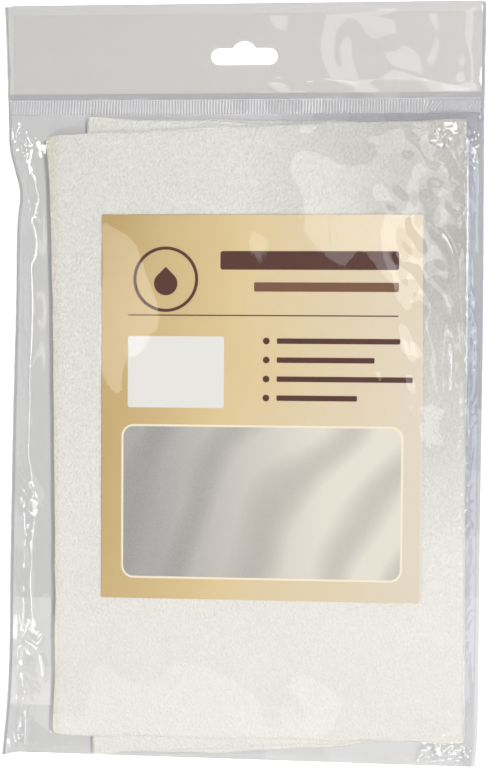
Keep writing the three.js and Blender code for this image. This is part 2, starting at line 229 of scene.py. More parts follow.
def front_ends(x):
    """The front panel's ends, across the hide."""
    share = share_between(x, HIDE_LEFT, RIGHT_TURN)
    return panel_ends(FRONT_ENDS, share, np.sin(share * np.pi / 2))


def back_ends(x):
    """The back panel's ends; its left bottom corner hangs lowest."""
    share = share_between(x, LEFT_TURN, RIGHT_TURN)
    return panel_ends(BACK_ENDS, smooth(share ** LOW_EASE), share)


def hide_frame(x, y):
    """Points of the bag's frame in the hide's own, before it is turned."""
    c, s = math.cos(LEATHER_TURN), math.sin(LEATHER_TURN)
    return c * x + s * y, c * y - s * x


print("folded hide in mm:", round(HIDE_RIGHT - HIDE_LEFT, 1), round(BACK_ENDS[0][1] - BACK_ENDS[0][0], 1))

# %% [markdown]
# ## Node helpers
#
# A material is a tree of nodes. Building one from code means adding nodes, setting their inputs and
# linking them, and a few short helpers keep that readable. Effects that several finishes share are node
# groups: they are built once, and each material sets its own values on them.

# %% Node helpers
FLOAT, VECTOR = "NodeSocketFloat", "NodeSocketVector"


def place(tree, kind, inputs=None, **settings):
    """Adds a node; each input gets a value, or a link where the value is another node's socket."""
    node = tree.nodes.new("ShaderNode" + kind)
    for name, value in settings.items():
        setattr(node, name, value)
    for key, value in (inputs or {}).items():
        if isinstance(value, bpy.types.NodeSocket):
            tree.links.new(value, node.inputs[key])
        else:
            node.inputs[key].default_value = value
    return node


def math_node(tree, operation, a, b=0):
    return place(tree, "Math", {0: a, 1: b}, operation=operation).outputs[0]


def times(tree, a, b):
    return math_node(tree, "MULTIPLY", a, b)


def plus(tree, a, b):
    return math_node(tree, "ADD", a, b)


def larger(tree, a, b):
    return math_node(tree, "MAXIMUM", a, b)


def coordinates(tree, kind="Object"):
    return place(tree, "TexCoord").outputs[kind]


def parts_of(tree, vector):
    """A vector's X, Y and Z."""
    return place(tree, "SeparateXYZ", {"Vector": vector}).outputs


def mix_colour(tree, share, a, b, blend="MIX"):
    """A colour between a and b, which are colours or sockets."""
    inputs = {0: share, 6: a, 7: b}
    return place(tree, "Mix", inputs, data_type="RGBA", blend_type=blend).outputs[2]


def ranged(tree, value, low, high, to_low=0, to_high=1):
    """A value moved from one range to another, and kept inside it."""
    inputs = {"Value": value, "From Min": low, "From Max": high, "To Min": to_low, "To Max": to_high}
    return place(tree, "MapRange", inputs).outputs["Result"]


def noise(tree, where, scale, detail=3, roughness=0.5):
    inputs = {"Vector": where, "Scale": scale, "Detail": detail, "Roughness": roughness}
    return place(tree, "TexNoise", inputs).outputs[0]


def new_group(name, inputs, outputs):
    """A node group with named sockets; inputs have defaults, and each is given as (name, kind, default)."""
    tree = bpy.data.node_groups.new(name, "ShaderNodeTree")
    for label, kind, default in inputs:
        socket = tree.interface.new_socket(label, in_out="INPUT", socket_type=kind)
        if default is not None:
            socket.default_value = default
    for label, kind in outputs:
        tree.interface.new_socket(label, in_out="OUTPUT", socket_type=kind)
    return tree, tree.nodes.new("NodeGroupInput").outputs, tree.nodes.new("NodeGroupOutput").inputs


def new_material(name, **values):
    """A material with one Principled shader whose plain values are set by name."""
    material = bpy.data.materials.new(name)
    material.use_nodes = True
    shader = material.node_tree.nodes["Principled BSDF"]
    for label, value in values.items():
        shader.inputs[label.replace("_", " ").title().replace("Ior", "IOR")].default_value = value
    return material, material.node_tree, shader


def feed(tree, shader, **sockets):
    """Links sockets to a shader's inputs by name."""
    for label, socket in sockets.items():
        tree.links.new(socket, shader.inputs[label.replace("_", " ").title()])


def bumped(tree, height, strength, distance):
    inputs = {"Height": height, "Strength": strength, "Distance": distance}
    return place(tree, "Bump", inputs).outputs["Normal"]


print("node helpers ready")

# %% [markdown]
# ## Shared effects
#
# Film is never perfectly smooth: handling leaves fine scuffs, and the extruder leaves a faint orange
# peel. Both films, the stiffener and the welds use one group for that. A second group gives slow blotches
# of tone, which the hide and the card show at different sizes.

# %% Film surface group
SCRATCHES = {"Scale": (900, 60, 60), "Rotation": (0, 0, 0.6)}
WEAR_SCALE = 40


def film_surface_group():
    """Roughness and height of handled film: a faint orange peel and thin scuffs."""
    inputs = [("Roughness", FLOAT, 0.04), ("Scuff", FLOAT, 0.1), ("Peel Size", FLOAT, 3)]
    tree, given, result = new_group("film_surface", inputs, [("Roughness", FLOAT), ("Height", FLOAT)])
    where = coordinates(tree)
    peel = noise(tree, where, math_node(tree, "DIVIDE", 1 / MM, given["Peel Size"]), 2)
    stretched = place(tree, "Mapping", {"Vector": where, **SCRATCHES}).outputs[0]
    scratches = ranged(tree, noise(tree, stretched, 1, 2), 0.64, 0.74)
    worn = ranged(tree, noise(tree, where, WEAR_SCALE, 2), 0.45, 0.7)
    scuffs = times(tree, times(tree, scratches, worn), given["Scuff"])
    tree.links.new(plus(tree, given["Roughness"], scuffs), result["Roughness"])
    tree.links.new(plus(tree, peel, scuffs), result["Height"])
    return tree


film_surface = film_surface_group()
print("group:", film_surface.name)

# %% Blotch group


def blotch_group():
    """Slow changes of tone, from 0 to 1, at a size in millimetres."""
    inputs = [("Size", FLOAT, 20), ("Detail", FLOAT, 3)]
    tree, given, result = new_group("blotch", inputs, [("Tone", FLOAT)])
    scale = math_node(tree, "DIVIDE", 1 / MM, given["Size"])
    tone = noise(tree, coordinates(tree), scale, given["Detail"])
    tree.links.new(ranged(tree, tone, 0.3, 0.7), result["Tone"])
    return tree


blotch = blotch_group()


def tone_of(tree, size, detail=3):
    """The blotch group in a material, at its own size."""
    inputs = {"Size": size, "Detail": detail}
    return place(tree, "Group", inputs, node_tree=blotch).outputs["Tone"]


print("group:", blotch.name)

# %% [markdown]
# ## Film finishes
#
# Clear film could be glass, but then every lamp behind it has to be found by chance and the hide under it
# goes noisy. Alpha lets light and sight straight through, as thin film does. Alpha also weakens the
# mirror image, so the front film's index is set high: what is left is about the reflection that real film
# gives. The back film, the header's back film and the fold strip are grey: a veil of painted shade that
# stands for the shaded table under the bag and gives the empty margins their tone. The stiffener is
# rougher, warm and a little grey. The right margin is darkest at its top, so its painted shade comes in
# several steps, bluish as a painted reflection, and the low margins get paler steps. The rib crests and
# a few crushed faces of the front film carry painted highlights.

# %% Film materials
PEEL_STRENGTH = 0.05
PEEL_HEIGHT = 0.1 * MM


def film_material(name, base_color, alpha, ior, roughness, scuff, peel):
    """Clear film: a Principled shader whose alpha lets most of what is behind show through."""
    material, tree, shader = new_material(name, base_color=(*base_color, 1), alpha=alpha, ior=ior)
    inputs = {"Roughness": roughness, "Scuff": scuff, "Peel Size": peel}
    surface = place(tree, "Group", inputs, node_tree=film_surface).outputs
    normal = bumped(tree, surface["Height"], PEEL_STRENGTH, PEEL_HEIGHT)
    feed(tree, shader, roughness=surface["Roughness"], normal=normal)
    return material


front_clear = film_material("front_clear_film", (0, 0, 0), 0.06, 3, 0.03, 0.2, 4)
# A grey veil of painted shade, standing for the shaded table under the bag.
back_shade_veil = film_material("back_clear_film", (0.20, 0.20, 0.215), 0.18, 2.2, 0.06, 0.3, 5)
# Steps of painted shade for the right margin, darkest at the top, bluish as a painted reflection.
margin_shade_steps = [film_material(f"right_margin_painted_shade_{n}", (0.17, 0.175, 0.235), alpha, 1.4, 0.1, 0.3, 5)
                 for n, alpha in enumerate((0.30, 0.27, 0.235, 0.20, 0.17))]
# Paler steps of painted shade for the low margins.
bottom_shade_steps = [film_material(f"bottom_margin_painted_shade_{n}", (0.20, 0.20, 0.215), alpha, 2.2, 0.06, 0.3, 5)
                 for n, alpha in enumerate((0.155, 0.135))]
header_clear = film_material("header_clear_film", (0.16, 0.16, 0.16), 0.06, 3, 0.04, 0.2, 6)
# The header's back film is grey: painted shade that stands for the shaded table behind.
header_rear_shade_veil = film_material("header_backing_film", (0.24, 0.235, 0.22), 0.165, 1.4, 0.3, 0.3, 6)
stiffener_haze = film_material("header_stiffener_film", (0.66, 0.62, 0.54), 0.06, 1.4, 0.35, 0.3, 8)
# The fold strip's darker film is painted shade.
strip_shade_veil = film_material("fold_strip_clear_film", (0.17, 0.17, 0.19), 0.31, 1.6, 0.08, 0.3, 4)
weld_clear = film_material("welded_film", (0.20, 0.20, 0.22), 0.32, 2, 0.06, 0.3, 1.5)
# Ribbed seal: the valleys' darker film is painted shade, the crests' paler film a painted highlight.
rib_valley_shade = film_material("rib_valley_film", (0.15, 0.15, 0.175), 0.29, 1.3, 0.15, 0.3, 1.5)
rib_crest_highlight = film_material("rib_crest_painted_highlight", (0.80, 0.80, 0.83), 0.38, 1.4, 0.12, 0.3, 1.5)
faint_rib_highlight = film_material("faint_crest_film", (0.64, 0.64, 0.67), 0.38, 1.4, 0.12, 0.3, 1.5)
# White, less clear film on a few crushed faces: a painted glint.
painted_glint = film_material("whitened_film", (0.92, 0.92, 0.95), 0.7, 1.5, 0.2, 0.3, 2)
# Bluish painted shade for the right welds, the darkest step of the margin beside them.
right_weld_shade_veil = film_material("right_welded_film", (0.18, 0.185, 0.24), 0.34, 1.6, 0.1, 0.3, 1.5)
print("film finishes:", [m.name for m in bpy.data.materials])

# %% [markdown]
# ## Closed thin sheets
#
# Film has two sides. A single-sided grid would render, but a printer or a viewer that reads the mesh
# would find an open skin. So each film is a grid of points for its upper side, another for its lower
# side, and a rim between. Where a film needs several finishes, each face is told which one is its own.

# %% Sheet helpers
SHARP = math.radians(42)


def closed_sheet(upper, lower):
    """Points and faces of a thin closed body between two grids of points."""
    rows, columns = upper.shape[:2]
    index = np.arange(rows * columns).reshape(rows, columns)
    skin = np.stack([index[:-1, :-1], index[:-1, 1:], index[1:, 1:], index[1:, :-1]], -1).reshape(-1, 4)
    around = np.concatenate([index[0, :-1], index[:-1, -1], index[-1, :0:-1], index[:0:-1, 0]])
    onward = np.roll(around, -1)
    under = rows * columns
    rim = np.stack([around, around + under, onward + under, onward], -1)
    faces = np.concatenate([skin, skin[:, ::-1] + under, rim])
    return np.concatenate([upper.reshape(-1, 3), lower.reshape(-1, 3)]), faces.tolist()


def film_sheet(x, y, z):
    """A sheet of film under a surface."""
    upper = np.stack([x, y, z], -1)
    return closed_sheet(upper, upper - (0, 0, FILM))


def flat_bottomed(x, y, z):
    """A body between a surface and the table."""
    upper = np.stack([x, y, z], -1)
    return closed_sheet(upper, upper * (1, 1, 0))


def from_rim(x, y):
    """Distance of each point of a grid from its nearest rim."""
    return np.minimum(np.minimum(x - x[:, :1], x[:, -1:] - x), np.minimum(y - y[:1], y[-1:] - y))


def add_piece(name, shape, material, nodes, body=None):
    """Makes a mesh from points in millimetres; it stands for some nodes and rides on a body."""
    points, faces = shape
    mesh = bpy.data.meshes.new(name)
    mesh.from_pydata((points * MM).tolist(), [], faces, shade_flat=False)
    mesh.set_sharp_from_angle(angle=SHARP)
    mesh.materials.append(material)
    piece = put(name, mesh)
    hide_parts(*nodes)
    if body:
        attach(piece, body)
    print(name, "has", len(faces), "faces and stands for", ", ".join(nodes))
    return piece


def finish_faces(piece, finishes, indices):
    """Gives a piece more finishes, and its faces, from the first on, the finish with their index."""
    for finish in finishes:
        piece.data.materials.append(finish)
    for face, index in zip(piece.data.polygons, indices):
        face.material_index = int(index)


# %% Random swells, ridges and crushed film
RIDGE_FADE = 5
RIDGE_LEAST = 0.15
RIDGE_CREST = 1.4
CRUSH_WAVES = 12
CRUSH_SIZES = (0.7, 1.6)
CRUSH_NARROW = 1.3
CRUSH_CREST = 1.5


def waves(x, y, seed, count, shortest, longest, lean=0, spread=180):
    """A soft random swell of about unit height: plane waves whose crests lean about one way, in degrees."""
    draw = np.random.default_rng(seed)
    total = np.zeros_like(x)
    for _ in range(count):
        length = draw.uniform(shortest, longest)
        angle = math.radians(draw.normal(lean, spread))
        phase = draw.uniform(0, 2 * np.pi)
        total += np.sin(2 * np.pi * (x * math.cos(angle) + y * math.sin(angle)) / length + phase)
    return total * math.sqrt(2 / count)


def to_path(x, y, path):
    """Distance to a path of points, and how far along it the nearest place lies, from 0 to 1."""
    path = np.array(path, float)
    nearest, along, run = np.full(x.shape, np.inf), np.zeros(x.shape), 0
    for a, b in zip(path[:-1], path[1:]):
        step = b - a
        length = math.hypot(*step)
        t = np.clip(((x - a[0]) * step[0] + (y - a[1]) * step[1]) / length ** 2, 0, 1)
        distance = np.hypot(x - a[0] - t * step[0], y - a[1] - t * step[1])
        along = np.where(distance < nearest, run + t * length, along)
        nearest = np.minimum(nearest, distance)
        run += length
    return nearest, along / run


def ridge(x, y, path, width):
    """A sharp crest along a path: 1 on the path, 0 a width away, and fading at both ends."""
    distance, share = to_path(x, y, path)
    fade = np.clip(RIDGE_FADE * np.minimum(share, 1 - share), RIDGE_LEAST, 1)
    return np.clip(1 - distance / width, 0, 1) ** RIDGE_CREST * fade


def crushed(x, y, seed, size):
    """Small sharp folds, where a random swell changes sign."""
    swell = waves(x, y, seed, CRUSH_WAVES, *(share * size for share in CRUSH_SIZES))
    return np.clip(1 - CRUSH_NARROW * np.abs(swell), 0, 1) ** CRUSH_CREST


def spot(x, y, middle, reach):
    """1 at a place, fading to 0 over a reach across and along."""
    return np.exp(-((x - middle[0]) / reach[0]) ** 2 - ((y - middle[1]) / reach[1]) ** 2)


print("swell, ridge and crush helpers ready")

# %% [markdown]
# ## The front film
#
# On the real pack the film is pulled over the hide and the card, and hangs loose in the margins. Cloth
# physics could drape it, but the bag's edges are welded flat and the card has to stay free to slide under
# it. A relaxed skin does that surely: every point moves to the middle of its neighbours, unless something
# lies under it, round after round until it has settled. Swells, creases and crushed patches then go on
# top, where the photograph shows them.

# %% Relax a skin over the hide and the card
GRID_STEP = 0.75
FILM_AIR = 0.15
RELAX_ROUNDS = 900
MAIN_FOLD = [(-104.9, 112.3), (-101.1, 102.2), (-97.3, 88.4), (-100.8, 78.3), (-98.2, 70), (-98.6, 61.6),
             (-101.1, 57.3), (-100.6, 40.9), (-101.1, 21.6), (-102.1, 6.2), (-102.2, -12.2), (-103.3, -31.7),
             (-101, -46), (-97.4, -57.5), (-99.5, -64), (-101.5, -84), (-101.9, -96),
             (-101.4, -108.1), (-100.4, -120.8)]
CORNER_FOLD = [(-108.6, -134), (-107, -142), (-105.1, -154.9), (-104, -170), (-104.6, -179)]
RIGHT_FOLD = [(109.6, 121), (108.6, 92), (109.4, 60), (110.2, 20), (109.6, -30), (110.2, -80),
              (109.2, -176)]
TENT_FOLDS = [(MAIN_FOLD, 7.1, 1.8), (CORNER_FOLD, 6.4, 1.8), (RIGHT_FOLD, 4.4, 0)]
TENT_ROUND = 5
TENT_END = 0.7
TENT_GROWTH = 4
TURN_CLEAR = 0.5
CARD_CLEAR = 0.4
CARD_EASE = 26
slide_low, slide_high = [v / MM for v in joints["card_slide"]["range_m"]]
field_x = np.arange(-120, 117, GRID_STEP)
field_y = np.arange(-186, seal_low[1] + 2 * GRID_STEP, GRID_STEP)


def hide_height(x, y):
    """Height of the hide's upper side: back panel, front panel and round turn."""
    u, v = hide_frame(x, y)
    height = np.zeros_like(x)
    turn_middle = FRONT_PLY - PLY_PITCH
    low, high = back_ends(u)
    back = (u > HIDE_INNER) & (u < HIDE_RIGHT - TURN_CLEAR) & (v > low) & (v < high)
    height[back] = turn_middle + PLY / 2
    low, high = front_ends(u)
    along = (v > low) & (v < high)
    height[along & (u > HIDE_LEFT) & (u <= RIGHT_TURN)] = leather_high[2]
    round_part = np.sqrt(np.clip((PLY_PITCH + PLY / 2) ** 2 - (u - RIGHT_TURN) ** 2, 0, None))
    turned = along & (u > RIGHT_TURN) & (u < HIDE_RIGHT)
    height[turned] = (turn_middle + round_part)[turned]
    return height


def support_height(x, y):
    """Height of what the front film may lie on: the hide, and the card anywhere along its slide."""
    height = hide_height(x, y)
    aside = np.maximum(card_low[0] - CARD_CLEAR - x, x - card_high[0] - CARD_CLEAR)
    beyond = np.maximum(card_low[1] + slide_low - CARD_CLEAR - y, y - card_high[1] - slide_high - CARD_CLEAR)
    away = np.clip(np.hypot(aside.clip(0), beyond.clip(0)) / CARD_EASE, 0, 1)
    eased = leather_high[2] + (card_high[2] - leather_high[2]) * (1 - smooth(away))
    on_hide = height > leather_high[2] - LAYER
    return np.where((away == 0) | on_hide, np.maximum(height, eased), height)


def tent_height(x, y, path, height, aside):
    """A rounded prop under a fold of the film, aside from the line that shines, and lower at both ends."""
    distance, share = to_path(x - aside, y, path)
    grown = np.clip(TENT_END + TENT_GROWTH * np.minimum(share, 1 - share), 0, 1)
    return height * grown - distance ** 2 / (2 * TENT_ROUND)


def relaxed_film():
    """The skin's height on a square grid."""
    x, y = np.meshgrid(field_x, field_y)
    support = support_height(x, y) + FILM_AIR
    for fold in TENT_FOLDS:
        support = np.maximum(support, tent_height(x, y, *fold))
    inside = (x > left_edge(y) + WELD) & (x < right_edge(y) - WELD)
    inside &= (y > bottom_edge(x) + BOTTOM_LIFT) & (y < seal_low[1])
    edge = bottom_high[2] - FILM
    film = np.where(inside, support, edge)
    for _ in range(RELAX_ROUNDS):
        around = np.roll(film, 1, 0) + np.roll(film, -1, 0) + np.roll(film, 1, 1) + np.roll(film, -1, 1)
        film = np.where(inside, np.maximum(around / 4, support), edge)
    return film


skin = relaxed_film()


def read_skin(x, y):
    """The relaxed skin's height at any points, blended between the grid's nearest four."""
    column = np.clip((x - field_x[0]) / GRID_STEP, 0, len(field_x) - 1.001)
    row = np.clip((y - field_y[0]) / GRID_STEP, 0, len(field_y) - 1.001)
    i, j = row.astype(int), column.astype(int)
    down, across = row - i, column - j
    upper = skin[i, j] * (1 - across) + skin[i, j + 1] * across
    lower = skin[i + 1, j] * (1 - across) + skin[i + 1, j + 1] * across
    return upper * (1 - down) + lower * down


print("relaxed skin:", skin.shape, "highest", round(float(skin.max()), 2), "mm")

# %% [markdown]
# Each crease is a path with a width and a height. Each crushed patch has a middle, a reach across and
# along, a size of fold and a height. A swell is given by its seed, its count of waves, their shortest and
# longest length, and for some how they lean and spread.

# %% Creases and crushed patches of the front film
CREASES = [
    ([(-108, 84), (-107.2, 71.5), (-107.5, 54.1), (-107.3, 41), (-107.8, 19.2), (-108.3, -7.6)],
     1.6, 0.5),
    ([(-98.9, 81.9), (-95.3, 77.9)], 2, 0.6),
    ([(-111, 114.4), (-108.3, 109.1)], 2, 0.7),
    ([(-110.9, 114.4), (-106, 117.8), (-100.1, 119.6)], 2.4, 1.2),
    ([(-105, 90.4), (-104.3, 97.6), (-103.3, 104.8)], 1.8, 0.6),
    ([(-107.8, -50.3), (-104.3, -48.3), (-101.3, -51.2)], 2, 0.6),
    ([(-108.1, -125.2), (-105.1, -121.7), (-98.1, -126), (-94.2, -121)], 2.4, 0.9),
    ([(-97, -130), (-94.5, -136.9), (-95, -143)], 2.4, 0.7),
    ([(87.1, 78.1), (95.1, 68.3), (99, 59.4), (100, 48.7), (103.4, 37)], 3, 0.9),
    ([(103.6, 81.6), (106.1, 69.9), (108.5, 61.5), (109.3, 41.8), (109.5, 27.7)], 2.4, 1),
    ([(104.4, 111.7), (102.7, 104.7), (105.5, 101.5), (103.3, 95.4), (100.1, 88.5)], 2.4, 1.2),
    ([(90.1, 121.6), (89.3, 116), (92.6, 111.4)], 2.4, 0.9),
    ([(110.4, 126.4), (111, 89), (110.9, 27.7), (110.5, -15)], 2, 0.7),
    ([(96.7, 26), (97.3, 11.1), (97, -4)], 2.4, 1),
    ([(105.8, 20.6), (107.1, -5.4), (107, -60), (106.6, -120)], 2.2, 0.7),
    ([(94.2, -171.4), (99.5, -175.1), (105.2, -174), (110.9, -176.7)], 2.2, 0.9),
    ([(96.6, -179.1), (103.8, -177.4), (110, -180.4)], 2, 0.7),
    ([(105, -168), (108.3, -174.5), (111, -167)], 2.2, 0.8),
]
CRUSHED = [
    ((-107, 116), (8, 10), 6, 1),
    ((-102, 84), (6, 14), 6, 0.6),
    ((-104, -60), (6, 30), 8, 0.6),
    ((-108, -140), (6, 36), 6, 1.1),
    ((-108, -178), (9, 8), 5, 0.8),
    ((-80, -178), (30, 5), 8, 0.4),
    ((94, 114), (8, 8), 9, 0.7),
    ((107, 112), (6, 22), 8, 0.7),
    ((108, 60), (5, 40), 7, 1.2),
    ((108, -50), (5, 80), 7, 1),
    ((99, -173), (16, 12), 9, 0.75),
    ((60, -179), (40, 4), 7, 0.4),
]
FIRST_CRUSH_SEED = 40
SWELL = 0.42
SWELL_WAVES = (11, 16, 34, 80, 25, 40)
SWELL_LEVEL = 2.1
CALM = 0.4
LIVELY_ACROSS, LIVELY_ALONG = (52, 84), (-60, -10)
TOP_ACROSS, TOP_ALONG = (-5, 40), (76, 104)
RIPPLE = 0.26
RIPPLE_WAVES = (61, 14, 11, 24, 35, 45)
RIPPLE_ACROSS, RIPPLE_ALONG = (58, 88), (-40, 20)
LEAST_RISE = 0.02
PLEAT = 0.3
PLEAT_STRETCH = 0.12
PLEAT_FOLDS = (23, 7)
PLEAT_FLATTENS = 0.6
LEFT_PLEATS = (HIDE_LEFT - 9, HIDE_LEFT - 13)
RIGHT_PLEATS = (HIDE_RIGHT, HIDE_RIGHT + 3)


def loose_film(x, y):
    """How far the film stands off the relaxed skin: most at the upper right, and pleated in the margins."""
    upper_right = share_between(y, *LIVELY_ALONG) * ramp(x, *LIVELY_ACROSS)
    top = share_between(x, *TOP_ACROSS) * ramp(y, *TOP_ALONG)
    lively = CALM + (1 - CALM) * np.clip(np.maximum(upper_right, top), 0, 1)
    rise = SWELL * lively * (SWELL_LEVEL + waves(x, y, *SWELL_WAVES))
    ripple = RIPPLE * share_between(x, *RIPPLE_ACROSS) * share_between(y, *RIPPLE_ALONG)
    rise = np.maximum(rise + ripple * (1 + waves(x, y, *RIPPLE_WAVES)), LEAST_RISE)
    margin = share_between(x, *LEFT_PLEATS) + share_between(x, *RIGHT_PLEATS)
    rise += margin * (PLEAT * crushed(x, PLEAT_STRETCH * y, *PLEAT_FOLDS) - PLEAT_FLATTENS * rise)
    for path, width, height in CREASES:
        rise += height * ridge(x, y, path, width)
    for seed, (middle, reach, size, height) in enumerate(CRUSHED, FIRST_CRUSH_SEED):
        rise += height * crushed(x, y, seed, size) * spot(x, y, middle, reach)
    return rise


print("creases:", len(CREASES), "crushed patches:", len(CRUSHED))

# %% Front film mesh
LEFT_COLUMNS = 42
MIDDLE_COLUMNS = 48
RIGHT_COLUMNS = 60
MIDDLE_FROM = HIDE_LEFT + 1.5
FINE_FROM = 72
ROWS = 320
RIM_EASE = 4
# Spots where crushed faces of the front film get a painted glint.
GLINT_SPOTS = [((98, -175), (17, 8)), ((93, 116), (6, 6)), ((109, 112), (3, 12))]
GLINT_FOLDS = (71, 6)
GLINT_FROM = 0.45


def across_columns(left, right):
    """Column places from one edge to the other, close together in the margins."""
    return np.concatenate([
        np.linspace(left, MIDDLE_FROM, LEFT_COLUMNS, endpoint=False),
        np.linspace(MIDDLE_FROM, FINE_FROM, MIDDLE_COLUMNS, endpoint=False),
        np.linspace(FINE_FROM, right, RIGHT_COLUMNS),
    ])


def front_film_shape():
    """A grid inside the bag's edges, lifted off the skin; and which of its faces carry a painted glint."""
    heights = np.linspace(bottom_high[1], seal_low[1] - SEAM, ROWS)
    x = np.array([across_columns(left_edge(y) + INSET, right_edge(y) - INSET) for y in heights])
    y = follow_bottom(x, np.repeat(heights[:, None], x.shape[1], 1))
    z = read_skin(x, y) + loose_film(x, y) * np.clip(from_rim(x, y) / RIM_EASE, 0, 1) + FILM
    # Faces picked here carry a painted glint where the film is crushed.
    worn = crushed(x, y, *GLINT_FOLDS) * np.max([spot(x, y, *patch) for patch in GLINT_SPOTS], 0)
    return film_sheet(x, y, z), (worn > GLINT_FROM)[1:, 1:].ravel()


film_shape, glint_faces = front_film_shape()
front_film = add_piece("pocket_front_film", film_shape, front_clear, ["front_film"], "bag")
finish_faces(front_film, [painted_glint], glint_faces)

# %% [markdown]
# ## The back film and the bottom fold
#
# The back of the bag lies flat on the table. It is the same web of film, folded along the bottom edge, so
# its mesh has the same outline as the front, and a thin half-round runs along the fold. Its grey is a veil
# of painted shade. The right margin and the film beside the seal get graded steps of it, bluish as a
# painted reflection, and the low margins get two paler ones.

# %% Back film and bottom fold
BACK_ROWS, BACK_COLUMNS = 130, 120
BACK_LIFT = 0.35
BACK_LEVEL = 1.2
BACK_WAVES = (5, 10, 14, 40)
BACK_LOOSE = (HIDE_LEFT - 4, HIDE_LEFT - 10)
BANDS_FROM = 20
BAND_STEP = 30
PAST_HIDE = 0.8
UNDER_SEAL = 118
LEANING_FROM = 84
SEAL_STEP = LEANING_FROM / 5
BOTTOM_MARGIN = -165
BOTTOM_STEPS = (12, 42)
LEFT_STEPS = (-105, -138)
LEFT_LOW = -157
FOLD_Y = -182
FOLD_COLUMNS = 160
FOLD_TURN = np.linspace(-0.5, 0.5, 9) * np.pi


def margin_band(value, start, step):
    """Which step of the margin's painted shade a place gets, from the darkest to the palest."""
    return int(np.clip((start - value) / step, 0, len(margin_shade_steps) - 1))


def back_finish(x, y):
    """Index of a place's finish on the back film."""
    if x > HIDE_RIGHT + PAST_HIDE:
        return 1 + margin_band(y, BANDS_FROM, BAND_STEP)
    if y > UNDER_SEAL and x > 0:
        return 1 + margin_band(x, LEANING_FROM, SEAL_STEP)
    if y < BOTTOM_MARGIN and x > BOTTOM_STEPS[0]:
        return len(margin_shade_steps) + sum(x > step for step in BOTTOM_STEPS)
    if x < HIDE_LEFT and LEFT_LOW < y < LEFT_STEPS[0]:
        return len(margin_shade_steps) + sum(y < step for step in LEFT_STEPS)
    return 0


def back_film_shape():
    """A flat sheet with the bag's outline, lifted a little where it is loose at the left."""
    x, y = between_edges(bottom_high[1], seal_low[1] - SEAM, BACK_ROWS, BACK_COLUMNS)
    y = follow_bottom(x, y)
    margin = share_between(x, *BACK_LOOSE) * np.clip((x - x[:, :1]) / RIM_EASE, 0, 1)
    lift = BACK_LIFT * margin * (BACK_LEVEL + waves(x, y, *BACK_WAVES)).clip(0)
    return film_sheet(x, y, FILM + lift)


def bottom_fold_shape():
    """The half-round fold along the bottom edge."""
    across = np.linspace(left_edge(FOLD_Y) + INSET, right_edge(FOLD_Y) - INSET, FOLD_COLUMNS)
    x, turn = np.meshgrid(across, FOLD_TURN)
    radius = (bottom_high[2] - bottom_low[2]) / 2

    def shell(r):
        return np.stack([x, bottom_edge(x) + radius - r * np.cos(turn), radius + r * np.sin(turn)], -1)

    return closed_sheet(shell(radius), shell(radius - FILM))


# The back film's grey is a veil of painted shade.
back_film = add_piece("pocket_back_film", back_film_shape(), back_shade_veil, ["back_film"], "bag")
# Margin faces take steps of painted shade; the right margin's are bluish, a painted reflection.
back_indices = [back_finish(face.center.x / MM, face.center.y / MM) for face in back_film.data.polygons]
finish_faces(back_film, margin_shade_steps + bottom_shade_steps, back_indices)
add_piece("bottom_fold_film", bottom_fold_shape(), weld_clear, ["bottom_fold"], "bag")

# %% [markdown]
# ## Welds
#
# A hot wire cuts and seals the sides, and leaves a narrow bead with a row of little dimples. The bead
# could be a bumped strip, but its outline shows against the light, so the dimples are in the mesh. The
# right welds carry the same graded painted shade as the margin beside them, bluish as a painted reflection.

# %% Side and header welds
DIMPLE_PITCH = 1.9
DIMPLE = 0.14
DIMPLE_WAVES = (3, 6, 25, 60, 90, 1)
BEAD_BASE = 0.6
WELD_STEP = 0.48
WELD_COLUMNS = 6
LEFT_FOOT, RIGHT_FOOT = -183.2, -182.6


def weld_shape(edge, low, high, thickness):
    """A beaded strip along an edge of the bag, on its inner side."""
    inward = 0 if edge is left_edge else -WELD
    across, heights = np.linspace(inward, inward + WELD, WELD_COLUMNS), np.arange(low, high, WELD_STEP)
    x = edge(heights)[:, None] + across
    y = np.repeat(heights[:, None], WELD_COLUMNS, 1)
    bead = np.sin((across - inward) / WELD * np.pi).clip(0) ** 0.5
    dimples = 0.5 + 0.5 * np.sin(2 * np.pi * y / DIMPLE_PITCH + waves(y, y, *DIMPLE_WAVES))
    return flat_bottomed(x, y, thickness * (BEAD_BASE + (1 - BEAD_BASE) * bead) + DIMPLE * dimples * bead)


HEADER_SPAN = (header_low[1], top_high[1], header_high[2])
for name, edge, span, finish, body in [
    ("left_side_weld", left_edge, (LEFT_FOOT, *weld_high[1:]), weld_clear, "bag"),
    ("right_side_weld", right_edge, (RIGHT_FOOT, *weld_high[1:]), right_weld_shade_veil, "bag"),
    ("header_left_weld", left_edge, HEADER_SPAN, weld_clear, "header"),
    ("header_right_weld", right_edge, HEADER_SPAN, right_weld_shade_veil, "header"),
]:
    weld = add_piece(f"beaded_{name}", weld_shape(edge, *span), finish, [name], body)
    # The right weld takes the margin's steps of painted shade.
    if edge is right_edge:
        bands = [margin_band(face.center.y / MM, BANDS_FROM, BAND_STEP) for face in weld.data.polygons]
        finish_faces(weld, margin_shade_steps[1:], bands)

# %% [markdown]
# ## The ribbed seal
#
# A ribbed jaw pressed the two films together into a band of fine upright ribs. On the right it caught the
# film askew: the ribs lean there, and one fold is pressed in flat. The ribs are real waves in the mesh,
# eight points to a rib, because they are what the eye reads first along this band. Their crests carry a
# painted highlight, fainter towards the right, and the darker film of the valleys is painted shade.

